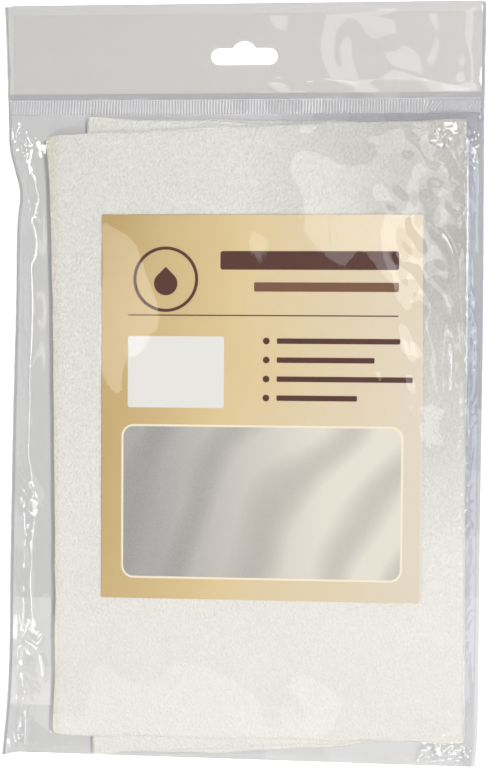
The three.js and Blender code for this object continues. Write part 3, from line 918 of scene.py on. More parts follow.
# %% Ribbed seal
RIB_PITCH = 1.4
RIB_POINTS = 8
RIB_BASE = 0.2
RIB_RISE = 0.17
SEAL_MIDDLE = 134
SEAL_ROWS = 13
LEAN_REACH = 6
SWAY = 0.5
SWAY_WAVES = (9, 8, 30, 90)
PRESS_WAVES = (21, 8, 18, 60)
PRESSED_FOLD = [(45.7, seal_low[1] - 2), (46.3, 139)]
PRESSED_WIDTH, PRESSED_RISE = 1.4, 0.55
CRUSHED_END = ((109, 133), (7, 8))
CRUSHED_FOLDS, CRUSHED_RISE = (31, 6), 0.5
FAINT_FROM = 26
FAINT_SPREAD = 20
FAINT_WAVES = (27, 8, 12, 50)


def ribbed_shape():
    """A fused band pressed into ribs; and for each face, whether it is valley, crest or faint crest."""
    left, right = left_edge(SEAL_MIDDLE) + INSET, right_edge(SEAL_MIDDLE) - INSET
    across = np.linspace(left, right, int((right - left) / RIB_PITCH * RIB_POINTS))
    x, y = np.meshgrid(across, np.linspace(seal_low[1], seal_high[1], SEAL_ROWS))
    up = ramp(y, seal_low[1], seal_high[1])
    leaning = share_between(x, LEANING_FROM, LEANING_FROM + LEAN_REACH)
    shift = leaning * (1.1 * np.sin(2 * np.pi * up) + 0.8 * np.sin(x / 4))
    shift += SWAY * waves(x, y, *SWAY_WAVES)
    rib = 0.5 + 0.5 * np.cos(2 * np.pi * (x + shift) / RIB_PITCH)
    depth = np.clip(np.sin(np.pi * up) * 2.2, 0, 1)
    depth *= (0.75 + 0.25 * waves(x, y, *PRESS_WAVES)).clip(0.2, 1)
    z = RIB_BASE + RIB_RISE * rib * depth
    z += PRESSED_RISE * ridge(x, y, PRESSED_FOLD, PRESSED_WIDTH)
    z += CRUSHED_RISE * crushed(x, y, *CRUSHED_FOLDS) * spot(x, y, *CRUSHED_END)
    # Crest faces get the painted highlight, fainter past a wandering line on the right.
    faint = (x + FAINT_SPREAD * waves(x, y, *FAINT_WAVES) > FAINT_FROM)[1:, 1:]
    crest = rib[:-1, :-1] + rib[1:, 1:] > 1 + 0.3 * faint + 0.1 * leaning[1:, 1:]
    return flat_bottomed(x, y, z), (crest * (1 + faint)).ravel()


rib_shape, crest_faces = ribbed_shape()
ribbed_seal = add_piece("ribbed_heat_seal", rib_shape, rib_valley_shade, ["ribbed_seal"], "bag")
finish_faces(ribbed_seal, [rib_crest_highlight, faint_rib_highlight], crest_faces)
print("ribs across the bag:", round((seal_high[0] - seal_low[0]) / RIB_PITCH))

# %% [markdown]
# ## The fold strip
#
# Between the seal and the header runs a narrow strip of single film, and the header hinges on it. It
# reaches from the seal up to the header's lower edge.

# %% Fold strip
STRIP_ROWS, STRIP_COLUMNS = 14, 240
PUCKER = 0.06
PUCKER_WAVES = (14, 10, 6, 26)
strip_top = header_low[1] - SEAM


def fold_strip_shape():
    """A narrow sheet with a slight pucker, from the seal up to the header."""
    x, y = between_edges(strip_low[1], strip_top, STRIP_ROWS, STRIP_COLUMNS, inset=0)
    middle = np.sin(np.pi * ramp(y, strip_low[1], strip_top))
    return film_sheet(x, y, FILM + PUCKER * middle * (1 + waves(x, y, *PUCKER_WAVES)).clip(0))


# Its darker film is painted shade.
fold_strip = add_piece("fold_strip_film", fold_strip_shape(), strip_shade_veil, ["fold_strip"])
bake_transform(fold_strip)

# %% [markdown]
# ## The header
#
# The header is two films round a stiffener, with the hang slot punched through all three. The front film
# isn't quite flat, and its right half shows it in long bent reflections. The slot is cut by a Boolean
# modifier, which is the surest way to punch one shape through several sheets. The stiffener's own solid
# has it already.

# %% Slot punch
SLOT_WIDTH = 32
SLOT_HEIGHT = 8
SLOT_MIDDLE = top_high[1] - 25
NOTCH_WIDTH = 11.2
NOTCH_RISE = 3.3
PUNCH_LOW, PUNCH_HIGH = -3, 6
ARC_STEPS = 14


def arc(middle_x, middle_y, radius, start, end):
    angles = np.linspace(start, end, ARC_STEPS)
    return np.stack([middle_x + radius * np.cos(angles), middle_y + radius * np.sin(angles)], -1)


def slot_outline():
    """The long hole with round ends and a round notch in its upper edge."""
    radius, reach, half = SLOT_HEIGHT / 2, SLOT_WIDTH / 2 - SLOT_HEIGHT / 2, NOTCH_WIDTH / 2
    notch = (half ** 2 + NOTCH_RISE ** 2) / (2 * NOTCH_RISE)
    notch_y = SLOT_MIDDLE + radius + NOTCH_RISE - notch
    open_angle = math.atan2(notch - NOTCH_RISE, half)
    return np.concatenate([
        arc(reach, SLOT_MIDDLE, radius, -np.pi / 2, np.pi / 2),
        arc(0, notch_y, notch, open_angle, np.pi - open_angle),
        arc(-reach, SLOT_MIDDLE, radius, np.pi / 2, 3 * np.pi / 2),
    ])


def slot_punch():
    """A solid of the slot's outline, tall enough to pass through the header."""
    outline = slot_outline()
    count = len(outline)
    points = [(*p, z) for z in (PUNCH_LOW, PUNCH_HIGH) for p in outline]
    sides = [(i, (i + 1) % count, (i + 1) % count + count, i + count) for i in range(count)]
    ends = [range(count)[::-1], range(count, 2 * count)]
    mesh = bpy.data.meshes.new("slot_punch")
    mesh.from_pydata((np.array(points) * MM).tolist(), [], sides + ends)
    return put("slot_punch", mesh)


def punch_slot(piece, punch):
    """Cuts the slot through a piece and keeps the cut mesh."""
    cut = piece.modifiers.new("slot", "BOOLEAN")
    cut.object, cut.operation, cut.solver = punch, "DIFFERENCE", "EXACT"
    bpy.context.view_layer.update()
    shaped = piece.evaluated_get(bpy.context.evaluated_depsgraph_get())
    piece.data = bpy.data.meshes.new_from_object(shaped)
    piece.modifiers.clear()
    piece.data.set_sharp_from_angle(angle=SHARP)
    print("slot cut through", piece.name, "leaving", len(piece.data.polygons), "faces")


# %% Header films
HEADER_ROWS, HEADER_COLUMNS = 40, 190
HEADER_SWELL = 0.5
HEADER_LEVEL = 1.8
HEADER_WAVES = (17, 12, 26, 62, 15, 45)
HEADER_RIPPLE = 0.1
HEADER_RIPPLES = (19, 12, 11, 24, 10, 50)
HEADER_CALM = 0.25
HEADER_LOOSE, HEADER_RIPPLED = (-10, 50), (20, 60)
HEADER_EASE = 5


def header_sheet_shape(base, swell):
    """A sheet between the header's welds; swell lifts it in soft waves, more to the right."""
    x, y = between_edges(header_low[1], header_high[1], HEADER_ROWS, HEADER_COLUMNS)
    loose = HEADER_CALM + (1 - HEADER_CALM) * share_between(x, *HEADER_LOOSE)
    lift = swell * loose * (HEADER_LEVEL + waves(x, y, *HEADER_WAVES)).clip(LEAST_RISE)
    rippled = HEADER_RIPPLE * share_between(x, *HEADER_RIPPLED)
    lift += swell * rippled * (1 + waves(x, y, *HEADER_RIPPLES))
    return film_sheet(x, y, base + lift * np.clip(from_rim(x, y) / HEADER_EASE, 0, 1))


header_front = add_piece("header_front_sheet", header_sheet_shape(header_high[2], HEADER_SWELL), header_clear,
                         ["header_front_film"], "header")
# Its grey film is painted shade.
header_back = add_piece("header_back_sheet", header_sheet_shape(FILM, 0), header_rear_shade_veil,
                        ["header_back_film"], "header")
punch = slot_punch()
punch_slot(header_front, punch)
punch_slot(header_back, punch)
bpy.data.objects.remove(punch)

# %% Header nodes that keep their solids
for name, finish in [("header_stiffener", stiffener_haze), ("header_top_fold", weld_clear)]:
    node = frame["nodes"][name]
    node.data.materials.clear()
    node.data.materials.append(finish)
    print(name, "keeps its solid, with", finish.name)

# %% [markdown]
# ## The hide
#
# The hide is one soft skin, folded in half along its bottom edge and then in three across its width. It
# could be a stack of rounded slabs, but the folds show at the right side and along the bottom, so it is
# lofted: the outline of a doubled layer, with round lips where the skin is cut, runs along the whole
# folded path.

# %% Path of the folded hide
LIP_STEPS = np.array([0, 0.05, 0.13, 0.25, 0.45, 0.8, 1.2, 1.7])
LIP_LEAST = 0.01
CORNER = 3.4
LAYER_MIDDLE = (LAYER + LAYER_GAP) / 2
TURN = -np.pi * np.arange(1, 14) / 14
FRONT_STATIONS, BACK_STATIONS, MIDDLE_STATIONS = 88, 60, 24
MIDDLE_LIP = 4


def lip(distance):
    """Share of the full thickness near a cut edge."""
    away = 1 - np.clip(distance / (LAYER / 2), 0, 1)
    return np.sqrt(np.clip(1 - away ** 2, LIP_LEAST, 1))


def stretch(x, z, turn, ends, thick=1):
    """Stations along one stretch of the path: place, height, turn, low and high end, and thickness."""
    return np.stack(np.broadcast_arrays(x, z, turn, *ends, thick), -1)


def folded_path():
    """Front panel, right fold, back panel, left fold and hidden middle panel, one after the other."""
    distance = np.concatenate([LIP_STEPS, np.linspace(CORNER, RIGHT_TURN - HIDE_LEFT, FRONT_STATIONS)])
    x = HIDE_LEFT + distance
    low, high = front_ends(x)
    rounded = CORNER - np.sqrt(CORNER ** 2 - np.clip(CORNER - distance, 0, CORNER) ** 2)
    front = stretch(x, FRONT_PLY, 0, (low + rounded, high - rounded), lip(distance))
    x, z = RIGHT_TURN - PLY_PITCH * np.sin(TURN), FRONT_PLY - PLY_PITCH * (1 - np.cos(TURN))
    right = stretch(x, z, TURN, FRONT_ENDS[1])
    x = np.linspace(RIGHT_TURN, LEFT_TURN, BACK_STATIONS)
    back = stretch(x, BACK_PLY, -np.pi, back_ends(x))
    radius = PLY_PITCH / 2
    x, z = LEFT_TURN + radius * np.sin(TURN), BACK_PLY + radius * (1 - np.cos(TURN))
    left = stretch(x, z, TURN - np.pi, BACK_ENDS[0])
    flat = np.linspace(LEFT_TURN, MIDDLE_END - MIDDLE_LIP, MIDDLE_STATIONS)
    x = np.concatenate([flat, MIDDLE_END - LIP_STEPS[::-1]])
    share = share_between(x, LEFT_TURN, MIDDLE_END)
    ends = panel_ends(MIDDLE_ENDS, share, share)
    middle = stretch(x, BACK_PLY + PLY_PITCH, -2 * np.pi, ends, lip(MIDDLE_END - x))
    return np.concatenate([front, right, back, left, middle])


hide_path = folded_path()
print("stations along the folded hide:", len(hide_path))

# %% Hide mesh
SKIN_STEPS = 80
LEFT_BOW = 2
BOW_MIDDLE = -25
BOW_REACH = 140
BOW_DEPTH = 12
EDGE_RISE = 0.14
EDGE_WAVES = (2, 8, 25, 80, 0, 1)
HIDE_SWELL = 0.09
HIDE_WAVES = (8, 14, 12, 50)
HIDE_SINK, HIDE_LOWEST, HIDE_HIGHEST = 0.1, -0.3, 0.15
BEND = np.linspace(0.5, 1.5, 11) * np.pi
TIP = np.linspace(-0.5, 0.5, 7) * np.pi


def doubled_outline(low, high, thick):
    """The doubled layer's outline: distances along the bag, and offsets from the ply's middle."""
    half = thick * LAYER / 2
    outer, inner = LAYER_MIDDLE + half, LAYER_MIDDLE - half
    turn, top = low + outer, high - half
    down, bend, tip = np.linspace(top, turn, SKIN_STEPS), BEND[1:-1], TIP[1:-1]
    flat, back = np.zeros(SKIN_STEPS), bend[::-1]
    along = [down, turn + outer * np.cos(bend), down[::-1], top + half * np.cos(tip),
             down, turn + inner * np.cos(back), down[::-1], top + half * np.cos(tip)]
    across = [flat + outer, outer * np.sin(bend), flat - outer, half * np.sin(tip) - LAYER_MIDDLE,
              flat - inner, inner * np.sin(back), flat + inner, half * np.sin(tip) + LAYER_MIDDLE]
    return np.concatenate(along), np.concatenate(across)


def soften_front(ring, along, across, from_edge):
    """Swells the front panel's upper skin, and bows its left edge."""
    outside = np.clip(across / LAYER_MIDDLE, 0, 1) * (across > LAYER_MIDDLE)
    swell = HIDE_SWELL * waves(ring[:, 0], along, *HIDE_WAVES) - HIDE_SINK
    ring[:, 2] += outside * swell.clip(HIDE_LOWEST, HIDE_HIGHEST)
    bow = LEFT_BOW * (1 - ((along - BOW_MIDDLE) / BOW_REACH) ** 4).clip(0)
    ring[:, 0] += math.exp(-from_edge / BOW_DEPTH) * (bow + EDGE_RISE * waves(along, along, *EDGE_WAVES))


def end_cap(ring):
    """Faces that close one end of the loft: quads between the skin's two sides, and a face at each tip."""
    side, tip = 2 * SKIN_STEPS + len(BEND) - 2, len(TIP) - 2
    outer, inner = ring[:side], ring[side + tip:2 * side + tip][::-1]
    quads = np.stack([outer[:-1], outer[1:], inner[1:], inner[:-1]], -1).tolist()
    return quads + [ring[side - 1:side + tip + 1].tolist(), [*ring[2 * side + tip - 1:].tolist(), ring[0]]]


def hide_shape():
    """The doubled outline lofted along the folded path, with a soft swell on the front panel."""
    rings = []
    for x, z, turn, low, high, thick in hide_path:
        wobble = 0.35 * math.sin(x / 9) + 0.25 * math.sin(x / 4.3 + 1)
        along, across = doubled_outline(low + wobble, high - 0.8 * wobble, thick)
        ring = np.stack([x - across * math.sin(turn), along, z + across * math.cos(turn)], -1)
        if turn == 0:
            soften_front(ring, along, across, x - HIDE_LEFT)
        rings.append(ring)
    points = np.concatenate(rings)
    index = np.arange(len(points)).reshape(len(rings), -1)
    onward = np.roll(index, -1, 1)
    sides = np.stack([index[:-1], onward[:-1], onward[1:], index[1:]], -1).reshape(-1, 4).tolist()
    c, s = math.cos(LEATHER_TURN), math.sin(LEATHER_TURN)
    points[:, :2] = points[:, :2] @ np.array([[c, s], [-s, c]])
    return points, sides + end_cap(index[0]) + end_cap(index[-1])


def face_outwards(piece):
    """Turns every face of a closed mesh outwards."""
    shape = bmesh.new()
    shape.from_mesh(piece.data)
    bmesh.ops.recalc_face_normals(shape, faces=shape.faces)
    shape.to_mesh(piece.data)
    shape.free()


# %% [markdown]
# The finish of oil-tanned chamois is matt and ivory, with a soft pebbled grain about a millimetre across.
# A plain noise would look like plaster. Cells with soft borders, broken up by a finer nap, give the
# pebbles, and their pits are darkened in the colour as painted shade. Slow blotches give the colour its
# life. Towards the bottom the hide turns warmer and brighter, partly its own tone and partly painted
# light. Its upper right turns darker and greyer, and its left edge yellower and darker, partly its own
# tint and partly painted shade where the edge rounds down.

# %% Leather material
# The second ivory is warmer and brighter: partly the hide's own tone, partly painted light.
IVORY, WARM_LIT_IVORY = (0.81, 0.815, 0.775, 1), (0.857, 0.836, 0.795, 1)
# The first colour greys the hide's upper right; the middle one tints its left edge yellower and darker,
# partly its own tint and partly painted shade where it rounds down.
GREYED_TONE, WORN, BLOTCHED = (0.50, 0.485, 0.46, 1), (0.72, 0.69, 0.57, 1), (0.79, 0.785, 0.74, 1)
GRAIN_ALONG = (-0.12, 0.05)
WARM_LIT_ALONG = (0.05, -0.17)
GREYED_ACROSS, GREYED_ALONG = (0, 0.085), (-0.08, 0.05)
EDGE_TINT_SHADE_ACROSS = ((HIDE_LEFT + 6) * MM, (HIDE_LEFT + 1.5) * MM)
WARP = 0.0012
DRAG = {"Scale": (0.8 * MM, 1.7 * MM, 1.2 * MM), "Rotation": (0, 0, -0.45)}
BLOTCH_SIZE, BLOTCH_SHARE = 26, 0.45
GRAIN_HEIGHT = 0.7 * MM


def leather_material():
    """Ivory suede: cells for the pebbled grain, fine noise for the nap, blotches for the tone."""
    material, tree, shader = new_material("ivory_chamois", sheen_weight=0.15, sheen_roughness=0.5, ior=1.4)
    where = coordinates(tree)
    axes = parts_of(tree, where)
    warp = place(tree, "TexNoise", {"Vector": where, "Scale": 500, "Detail": 2}).outputs[1]
    moved = mix_colour(tree, WARP, where, warp, "ADD")
    cells = place(tree, "TexVoronoi", {"Vector": moved, "Scale": 900, "Smoothness": 0.7},
                  feature="SMOOTH_F1").outputs["Distance"]
    pebbles = ranged(tree, cells, 0.05, 0.75, 1, 0)
    nap = noise(tree, where, 2600, 3, 0.6)
    drag = place(tree, "Mapping", {"Vector": where, **DRAG}, vector_type="TEXTURE").outputs[0]
    creases = noise(tree, drag, 1, 2, 0.5)
    height = plus(tree, times(tree, pebbles, 0.55), times(tree, nap, 0.25))
    height = plus(tree, height, times(tree, creases, 0.7))
    height = times(tree, height, ranged(tree, axes["Y"], *GRAIN_ALONG, 0.8, 1))
    # Darker and greyer towards the upper right of the hide.
    greyed_upper_right = times(tree, ranged(tree, axes["X"], *GREYED_ACROSS), ranged(tree, axes["Y"], *GREYED_ALONG))
    # Left edge: partly the hide's own yellow tint, partly painted shade where it rounds down.
    edge_tint_and_shade = ranged(tree, axes["X"], *EDGE_TINT_SHADE_ACROSS, 0, 0.8)
    blotches = times(tree, tone_of(tree, BLOTCH_SIZE), BLOTCH_SHARE)
    # Warmer and brighter towards the bottom: partly the hide's own tone, partly painted light.
    ground = mix_colour(tree, ranged(tree, axes["Y"], *WARM_LIT_ALONG), IVORY, WARM_LIT_IVORY)
    for share, colour in [(greyed_upper_right, GREYED_TONE), (edge_tint_and_shade, WORN), (blotches, BLOTCHED)]:
        ground = mix_colour(tree, share, ground, colour)
    # The grain's pits are darkened in the colour as painted shade, more at the top.
    pit_shade = ranged(tree, axes["Y"], *GRAIN_ALONG, 0.94, 0.89)
    ground = mix_colour(tree, 1, ground, ranged(tree, creases, 0.38, 0.58, pit_shade, 1), "MULTIPLY")
    feed(tree, shader, base_color=ground, roughness=ranged(tree, nap, 0.3, 0.7, 0.8, 0.95),
         normal=bumped(tree, height, 1, GRAIN_HEIGHT))
    return material


hide = add_piece("folded_chamois", hide_shape(), leather_material(), ["chamois_leather"], "bag")
face_outwards(hide)

# %% [markdown]
# ## The card
#
# The card is one printed board folded at its top, and its back leaf is a little askew. Its print is a
# plain design of this lesson's own: a gold ground that pales to cream, a drop in a ring, blank bars, an
# empty white panel and a picture of soft folds. All of it is drawn by nodes from the card's own
# millimetres, so it stays sharp.

# %% Card mesh
BOARD = 0.3
LEAF_GAP = 0.3
BACK_SKEW = 1.5
BACK_SHORT = 1.3
CARD_COLUMNS = 60
FRONT_ROWS, TURN_ROWS, BACK_LEAF_ROWS = 46, 13, 30


def card_shape():
    """Two leaves joined by a half-round fold at the top; a ribbon of mid points with a thickness."""
    left, right = card_low[0], card_high[0] - BACK_SKEW
    radius = (BOARD + LEAF_GAP) / 2
    fold_y, fold_z = card_high[1] - radius - BOARD / 2, (card_low[2] + card_high[2]) / 2
    turn = np.linspace(0, np.pi, TURN_ROWS)
    front = np.linspace(card_low[1], fold_y, FRONT_ROWS)[:-1]
    back = np.linspace(fold_y, card_low[1] + BACK_SHORT, BACK_LEAF_ROWS)[1:]
    y = np.concatenate([front, fold_y + radius * np.sin(turn), back])[:, None]
    lean = np.concatenate([front * 0, turn, back * 0 + np.pi])
    z = fold_z + radius * np.cos(lean)[:, None]
    skew = np.concatenate([front * 0, turn * 0, np.linspace(0, BACK_SKEW, len(back))])
    x = left + (right - left + skew)[:, None] * np.linspace(0, 1, CARD_COLUMNS)
    middle = np.stack(np.broadcast_arrays(x, y, z), -1)
    out = np.stack([lean * 0, np.sin(lean), np.cos(lean)], -1)[:, None, :] * BOARD / 2
    return closed_sheet(middle + out, middle - out)


# %% Printed shapes as a node group
PRINT_EDGE = 0.08


def rounded_patch_group():
    """1 inside a rectangle with round corners, placed by its middle and half sizes in millimetres."""
    inputs = [(label, VECTOR, None) for label in ("Position", "Middle", "Half Size")]
    tree, given, result = new_group("rounded_patch", [*inputs, ("Corner", FLOAT, 0.5)], [("Mask", FLOAT)])

    def vector(operation, a, b=(0, 0, 0), output=0):
        return place(tree, "VectorMath", {0: a, 1: b}, operation=operation).outputs[output]

    corner = place(tree, "CombineXYZ", {"X": given["Corner"], "Y": given["Corner"]}).outputs[0]
    flat = vector("MULTIPLY", given["Position"], (1, 1, 0))
    away = vector("ABSOLUTE", vector("SUBTRACT", flat, given["Middle"]))
    core = vector("SUBTRACT", given["Half Size"], corner)
    past = vector("MAXIMUM", vector("SUBTRACT", away, core))
    distance = math_node(tree, "SUBTRACT", vector("LENGTH", past, output="Value"), given["Corner"])
    tree.links.new(ranged(tree, distance, PRINT_EDGE, -PRINT_EDGE), result["Mask"])
    return tree


rounded_patch = rounded_patch_group()


def patch_mask(tree, position, middle, half, corner):
    """One printed patch in a material."""
    inputs = {"Position": position, "Middle": (*middle, 0), "Half Size": (*half, 0), "Corner": corner}
    return place(tree, "Group", inputs, node_tree=rounded_patch).outputs["Mask"]


def disc_mask(tree, position, middle, radius):
    return patch_mask(tree, position, middle, (radius, radius), radius)


print("group:", rounded_patch.name)

# %% Card material
INK = (0.075, 0.018, 0.008, 1)
SOFT_INK = (0.17, 0.07, 0.03, 1)
CREAM = (0.86, 0.78, 0.60, 1)
PANEL_WHITE = (0.76, 0.75, 0.72, 1)
CUT_EDGE, BARE_BOARD = (0.42, 0.30, 0.14, 1), (0.74, 0.69, 0.58, 1)
GOLDS = [(0, (0.50, 0.35, 0.135, 1)), (0.4, (0.70, 0.545, 0.285, 1)), (1, (0.70, 0.625, 0.51, 1))]
GOLD_ACROSS = (-80, 92)
GOLD_SLANT = -0.1
GOLD_WANDER, WANDER_SIZE = 16, 60
CLOTH_GREY, CLOTH_CREAM = (0.36, 0.355, 0.35, 1), (0.72, 0.68, 0.60, 1)
CLOTH_SHADE, CLOTH_NAP = (0.24, 0.23, 0.215, 1), (0.86, 0.84, 0.79, 1)
CLOTH_ACROSS = (-50, 30)
CLOTH_LEAN = 0.5
CLOTH_FOLDS = {"Scale": 0.009, "Distortion": 5, "Detail": 1, "Detail Scale": 1.4, "Detail Roughness": 0.4}
BARS = [
    ((22, 70), (42, 4.4), 1.2, INK),
    ((30, 57.5), (34, 2.2), 0.8, SOFT_INK),
    ((0, 44), (64, 0.3), 0.2, INK),
]
NOTES = [(32, 30), (23, 24), (14, 33), (5, 20)]
NOTE_DOT, DOT_X, NOTE_X = 1.6, 2, 6
NOTE_HALF, NOTE_CORNER = 1.3, 0.5
RING_MIDDLE, RING_RADIUS, RING_WIDTH = (-46, 61), 15.5, 1.5
DROP_MIDDLE, DROP_RADIUS, DROP_POINT = (-46, 59), 5.6, 0.3
WHITE_PANEL = ((-41, 17), (23, 17), 1.2)
PICTURE_FRAME = ((0, -45), (67, 37), 6)
PICTURE = ((0, -45), (66, 36), 5)


def card_position(tree):
    """Millimetres from the middle of the card's front."""
    middle = Vector((card_low + card_high) / 2) * MM
    inputs = {0: coordinates(tree), 1: middle}
    moved = place(tree, "VectorMath", inputs, operation="SUBTRACT").outputs[0]
    return place(tree, "VectorMath", {0: moved, "Scale": 1 / MM}, operation="SCALE").outputs[0]


def gold_ground(tree, position):
    """Gold on the left, paling to cream on the right, with a slow unevenness of the ink."""
    blend = place(tree, "ValToRGB")
    stops = blend.color_ramp.elements
    while len(stops) < len(GOLDS):
        stops.new(0.5)
    for stop, (at, colour) in zip(stops, GOLDS):
        stop.position, stop.color = at, colour
    axes = parts_of(tree, position)
    slant = plus(tree, axes["X"], times(tree, axes["Y"], GOLD_SLANT))
    wander = times(tree, tone_of(tree, WANDER_SIZE, 1), GOLD_WANDER)
    tree.links.new(ranged(tree, plus(tree, slant, wander), *GOLD_ACROSS), blend.inputs[0])
    return blend.outputs[0]


def cloth_picture(tree, position):
    """A soft cloth lying in slanting folds, grey on the left and cream on the right."""
    inputs = {"Vector": position, "Rotation": (0, 0, CLOTH_LEAN)}
    leaning = place(tree, "Mapping", inputs).outputs[0]
    folds = place(tree, "TexWave", {"Vector": leaning, **CLOTH_FOLDS}).outputs["Fac"]
    nap = noise(tree, position, 1.6, 4, 0.6)
    across = ranged(tree, parts_of(tree, position)["X"], *CLOTH_ACROSS)
    ground = mix_colour(tree, across, CLOTH_GREY, CLOTH_CREAM)
    shaded = mix_colour(tree, ranged(tree, folds, 0.75, 0, 0, 0.42), ground, CLOTH_SHADE)
    return mix_colour(tree, ranged(tree, nap, 0.35, 0.7, 0, 0.12), shaded, CLOTH_NAP)


def drop_mask(tree, position):
    """A drop with its point upwards: a disc joined to the upper corner of a turned square."""
    disc = disc_mask(tree, position, DROP_MIDDLE, DROP_RADIUS)
    inputs = {"Vector": position, "Center": (*DROP_MIDDLE, 0), "Angle": -np.pi / 4}
    turned = place(tree, "VectorRotate", inputs, rotation_type="Z_AXIS").outputs[0]
    half = DROP_RADIUS / 2
    square_middle = (DROP_MIDDLE[0] + half, DROP_MIDDLE[1] + half)
    return larger(tree, disc, patch_mask(tree, turned, square_middle, (half, half), DROP_POINT))


def printed_front(tree, position):
    """The whole print, patch over patch."""
    layers = [(patch_mask(tree, position, *patch), ink) for *patch, ink in BARS]
    for y, half in NOTES:
        dot = disc_mask(tree, position, (DOT_X, y), NOTE_DOT)
        note = patch_mask(tree, position, (NOTE_X + half, y), (half - 1, NOTE_HALF), NOTE_CORNER)
        layers.append((larger(tree, dot, note), INK))
    ring = math_node(tree, "SUBTRACT", disc_mask(tree, position, RING_MIDDLE, RING_RADIUS),
                     disc_mask(tree, position, RING_MIDDLE, RING_RADIUS - RING_WIDTH))
    layers += [
        (larger(tree, ring, drop_mask(tree, position)), INK),
        (patch_mask(tree, position, *WHITE_PANEL), PANEL_WHITE),
        (patch_mask(tree, position, *PICTURE_FRAME), CREAM),
        (patch_mask(tree, position, *PICTURE), cloth_picture(tree, position)),
    ]
    print_colour = gold_ground(tree, position)
    for mask, ink in layers:
        print_colour = mix_colour(tree, mask, print_colour, ink)
    return print_colour


def card_material():
    """Printed board: the print on its front, pale board inside, brown cut edges, and a faint paper tooth."""
    material, tree, shader = new_material("printed_board", ior=1.45)
    position = card_position(tree)
    up = parts_of(tree, coordinates(tree, "Normal"))["Z"]
    height = parts_of(tree, position)["Z"]
    level = ranged(tree, math_node(tree, "ABSOLUTE", up), 0.3, 0.6)
    board = mix_colour(tree, level, CUT_EDGE, BARE_BOARD)
    outer = times(tree, ranged(tree, up, 0.3, 0.6), ranged(tree, height, 0, 0.1))
    colour = mix_colour(tree, outer, board, printed_front(tree, position))
    tooth = noise(tree, position, 5, 3)
    feed(tree, shader, base_color=colour, roughness=ranged(tree, tooth, 0.3, 0.7, 0.42, 0.58),
         normal=bumped(tree, tooth, 0.08, 0.05 * MM))
    return material


add_piece("folded_card", card_shape(), card_material(), ["insert_card"], "card")

# %% [markdown]
# ## Light and floor
#
# The photograph has its main light above and to the right: it casts the thin shadow left of the hide. The
# film mirrors everything else that stood round the table. One set of lamps could do both, but then each
# change to a reflection would change the shadows too. So some lamps only light the pack, and others only
# show in the film: soft panels over its right half and its corners, and strips at both sides that draw
# the white lines along the creases. The world fills in with an even grey. The floor is pale and keeps the
# pack's shadow, and further off both turn into a white backdrop for the eye.

# %% Lamps
WHITE, WARM, COOL_WHITE = (1, 1, 1), (1, 0.98, 0.95), (0.97, 0.985, 1)
COOL, WINDOW = (0.80, 0.86, 1), (0.74, 0.79, 1)
LIGHTING = [
    ("key_lamp", (0.45, 0.12, 1.10), (0, 0, 0), (0.11, 0.11), 300, WARM),
    ("soft_box", (0.25, -0.14, 1.05), (0.1, -0.14, 0), (0.42, 1.7), 2.7, WHITE),
    ("front_fill", (-0.26, -0.62, 1), (0, -0.1, 0), (0.60, 0.42), 5.6, WARM),
    ("left_fill", (-0.75, 0.10, 0.70), (0, 0, 0), (0.50, 0.80), 1.2, WHITE),
]
MIRRORED = [
    ("wide_panel", (0.27, 0.08, 1.05), (0.1, 0, 0), (0.18, 0.44), 3.2, COOL_WHITE),
    ("upper_panel", (0.17, 0.22, 1.05), (0.1, 0.1, 0), (0.34, 0.28), 3.4, COOL_WHITE),
    ("header_panel", (0.21, 0.53, 1.05), (0.1, 0.1, 0), (0.28, 0.24), 3.2, COOL_WHITE),
    ("card_panel", (-0.24, 0.09, 1.05), (0, 0, 0), (0.11, 0.24), 4.2, WARM),
    ("low_panel", (-0.20, -0.56, 1), (0, -0.1, 0), (0.50, 0.22), 1.2, WARM),
    ("veil_panel", (-0.80, -0.50, 0.85), (-0.1, -0.15, 0), (0.70, 0.70), 2.2, WHITE),
    ("corner_panel", (0.42, -0.80, 0.60), (0.1, -0.17, 0), (0.30, 0.30), 14, WHITE),
    ("glint_panel", (0.65, 0.50, 0.76), (0.1, 0.1, 0), (0.28, 0.28), 16, WHITE),
    ("left_strip", (-0.78, 0.28, 0.48), (-0.1, 0.28, 0), (0.20, 0.68), 20, WHITE),
    ("low_strip", (-0.78, -0.38, 0.48), (-0.1, -0.38, 0), (0.20, 0.70), 11, WHITE),
    ("right_strip", (0.80, 0.22, 0.50), (0.1, 0, 0), (0.14, 0.84), 18, COOL),
    ("side_window", (0.90, 0, 0.26), (0.1, 0, 0), (0.40, 1.1), 5, WINDOW),
]


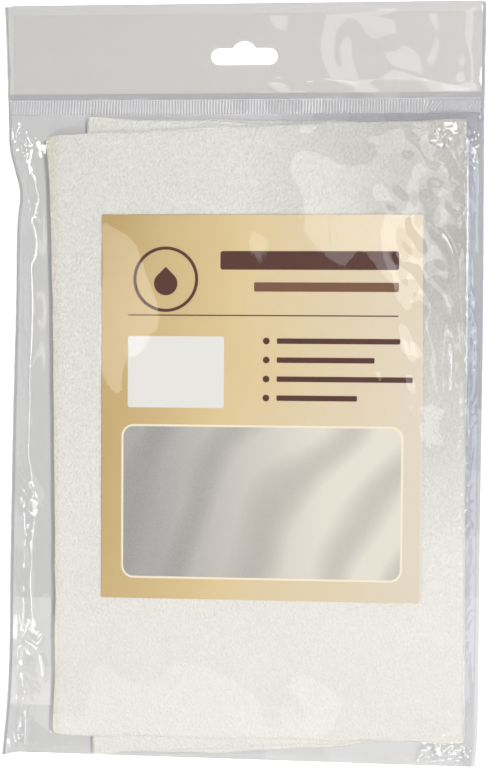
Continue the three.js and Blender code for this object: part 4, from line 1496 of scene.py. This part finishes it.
def add_lamp(name, at, aim, size, radiance, colour, mirrored):
    """An oval lamp, as bright as the eye would see it; it lights things, or only shows in the film."""
    data = bpy.data.lights.new(name, "AREA")
    data.shape = "ELLIPSE"
    data.size, data.size_y = size
    data.energy = radiance * math.pi * size[0] * size[1] * math.pi / 4
    data.color = colour
    lamp = put(name, data)
    lamp.visible_diffuse = not mirrored
    lamp.visible_glossy = mirrored
    back = (Vector(at) - Vector(aim)).normalized()
    across = Vector((0, 1, 0)).cross(back).normalized()
    turn = Matrix([across, back.cross(across), back]).transposed()
    lamp.matrix_world = Matrix.Translation(at) @ turn.to_4x4()
    print(name, "gives", round(data.energy, 2), "W")


for lamp in LIGHTING:
    add_lamp(*lamp, mirrored=False)
for lamp in MIRRORED:
    add_lamp(*lamp, mirrored=True)

# %% World and floor
WORLD_LIGHT = 0.18
FLOOR_GLOW = 0.16
BACKDROP = (0.4, 1.3)
FLOOR_REACH, FLOOR_DROP = 4, 0.05 * MM


def add_world():
    """An even grey all round, which the eye sees as a white backdrop."""
    world = bpy.data.worlds.new("even_grey")
    world.use_nodes = True
    tree = world.node_tree
    background = tree.nodes["Background"]
    background.inputs["Color"].default_value = (0.97, 0.98, 1, 1)
    seen = place(tree, "LightPath").outputs["Is Camera Ray"]
    tree.links.new(ranged(tree, seen, 0, 1, WORLD_LIGHT, 1), background.inputs["Strength"])
    scene.world = world


def floor_material():
    """Pale and matt; rays from the eye, and mirrored or passed-through ones, also see a little glow."""
    material, tree, shader = new_material("pale_floor", base_color=(0.88, 0.88, 0.88, 1), roughness=0.9,
                                          emission_color=(1, 1, 1, 1))
    rays = place(tree, "LightPath").outputs
    seen = larger(tree, rays["Is Camera Ray"], rays["Is Glossy Ray"])
    seen = larger(tree, seen, rays["Is Transmission Ray"])
    inputs = {0: coordinates(tree)}
    away = place(tree, "VectorMath", inputs, operation="LENGTH").outputs["Value"]
    feed(tree, shader, emission_strength=times(tree, seen, ranged(tree, away, *BACKDROP, FLOOR_GLOW, 1)))
    return material


def add_floor():
    """A wide square just under the pack."""
    mesh = bpy.data.meshes.new("floor")
    sides = ((-1, -1), (1, -1), (1, 1), (-1, 1))
    corners = [(x * FLOOR_REACH, y * FLOOR_REACH, -FLOOR_DROP) for x, y in sides]
    mesh.from_pydata(corners, [], [(0, 1, 2, 3)])
    mesh.materials.append(floor_material())
    floor = put("floor", mesh)


add_world()
add_floor()
scene.cycles.transparent_max_bounces = 32
scene.view_settings.view_transform = "Standard"
print("world and floor ready")
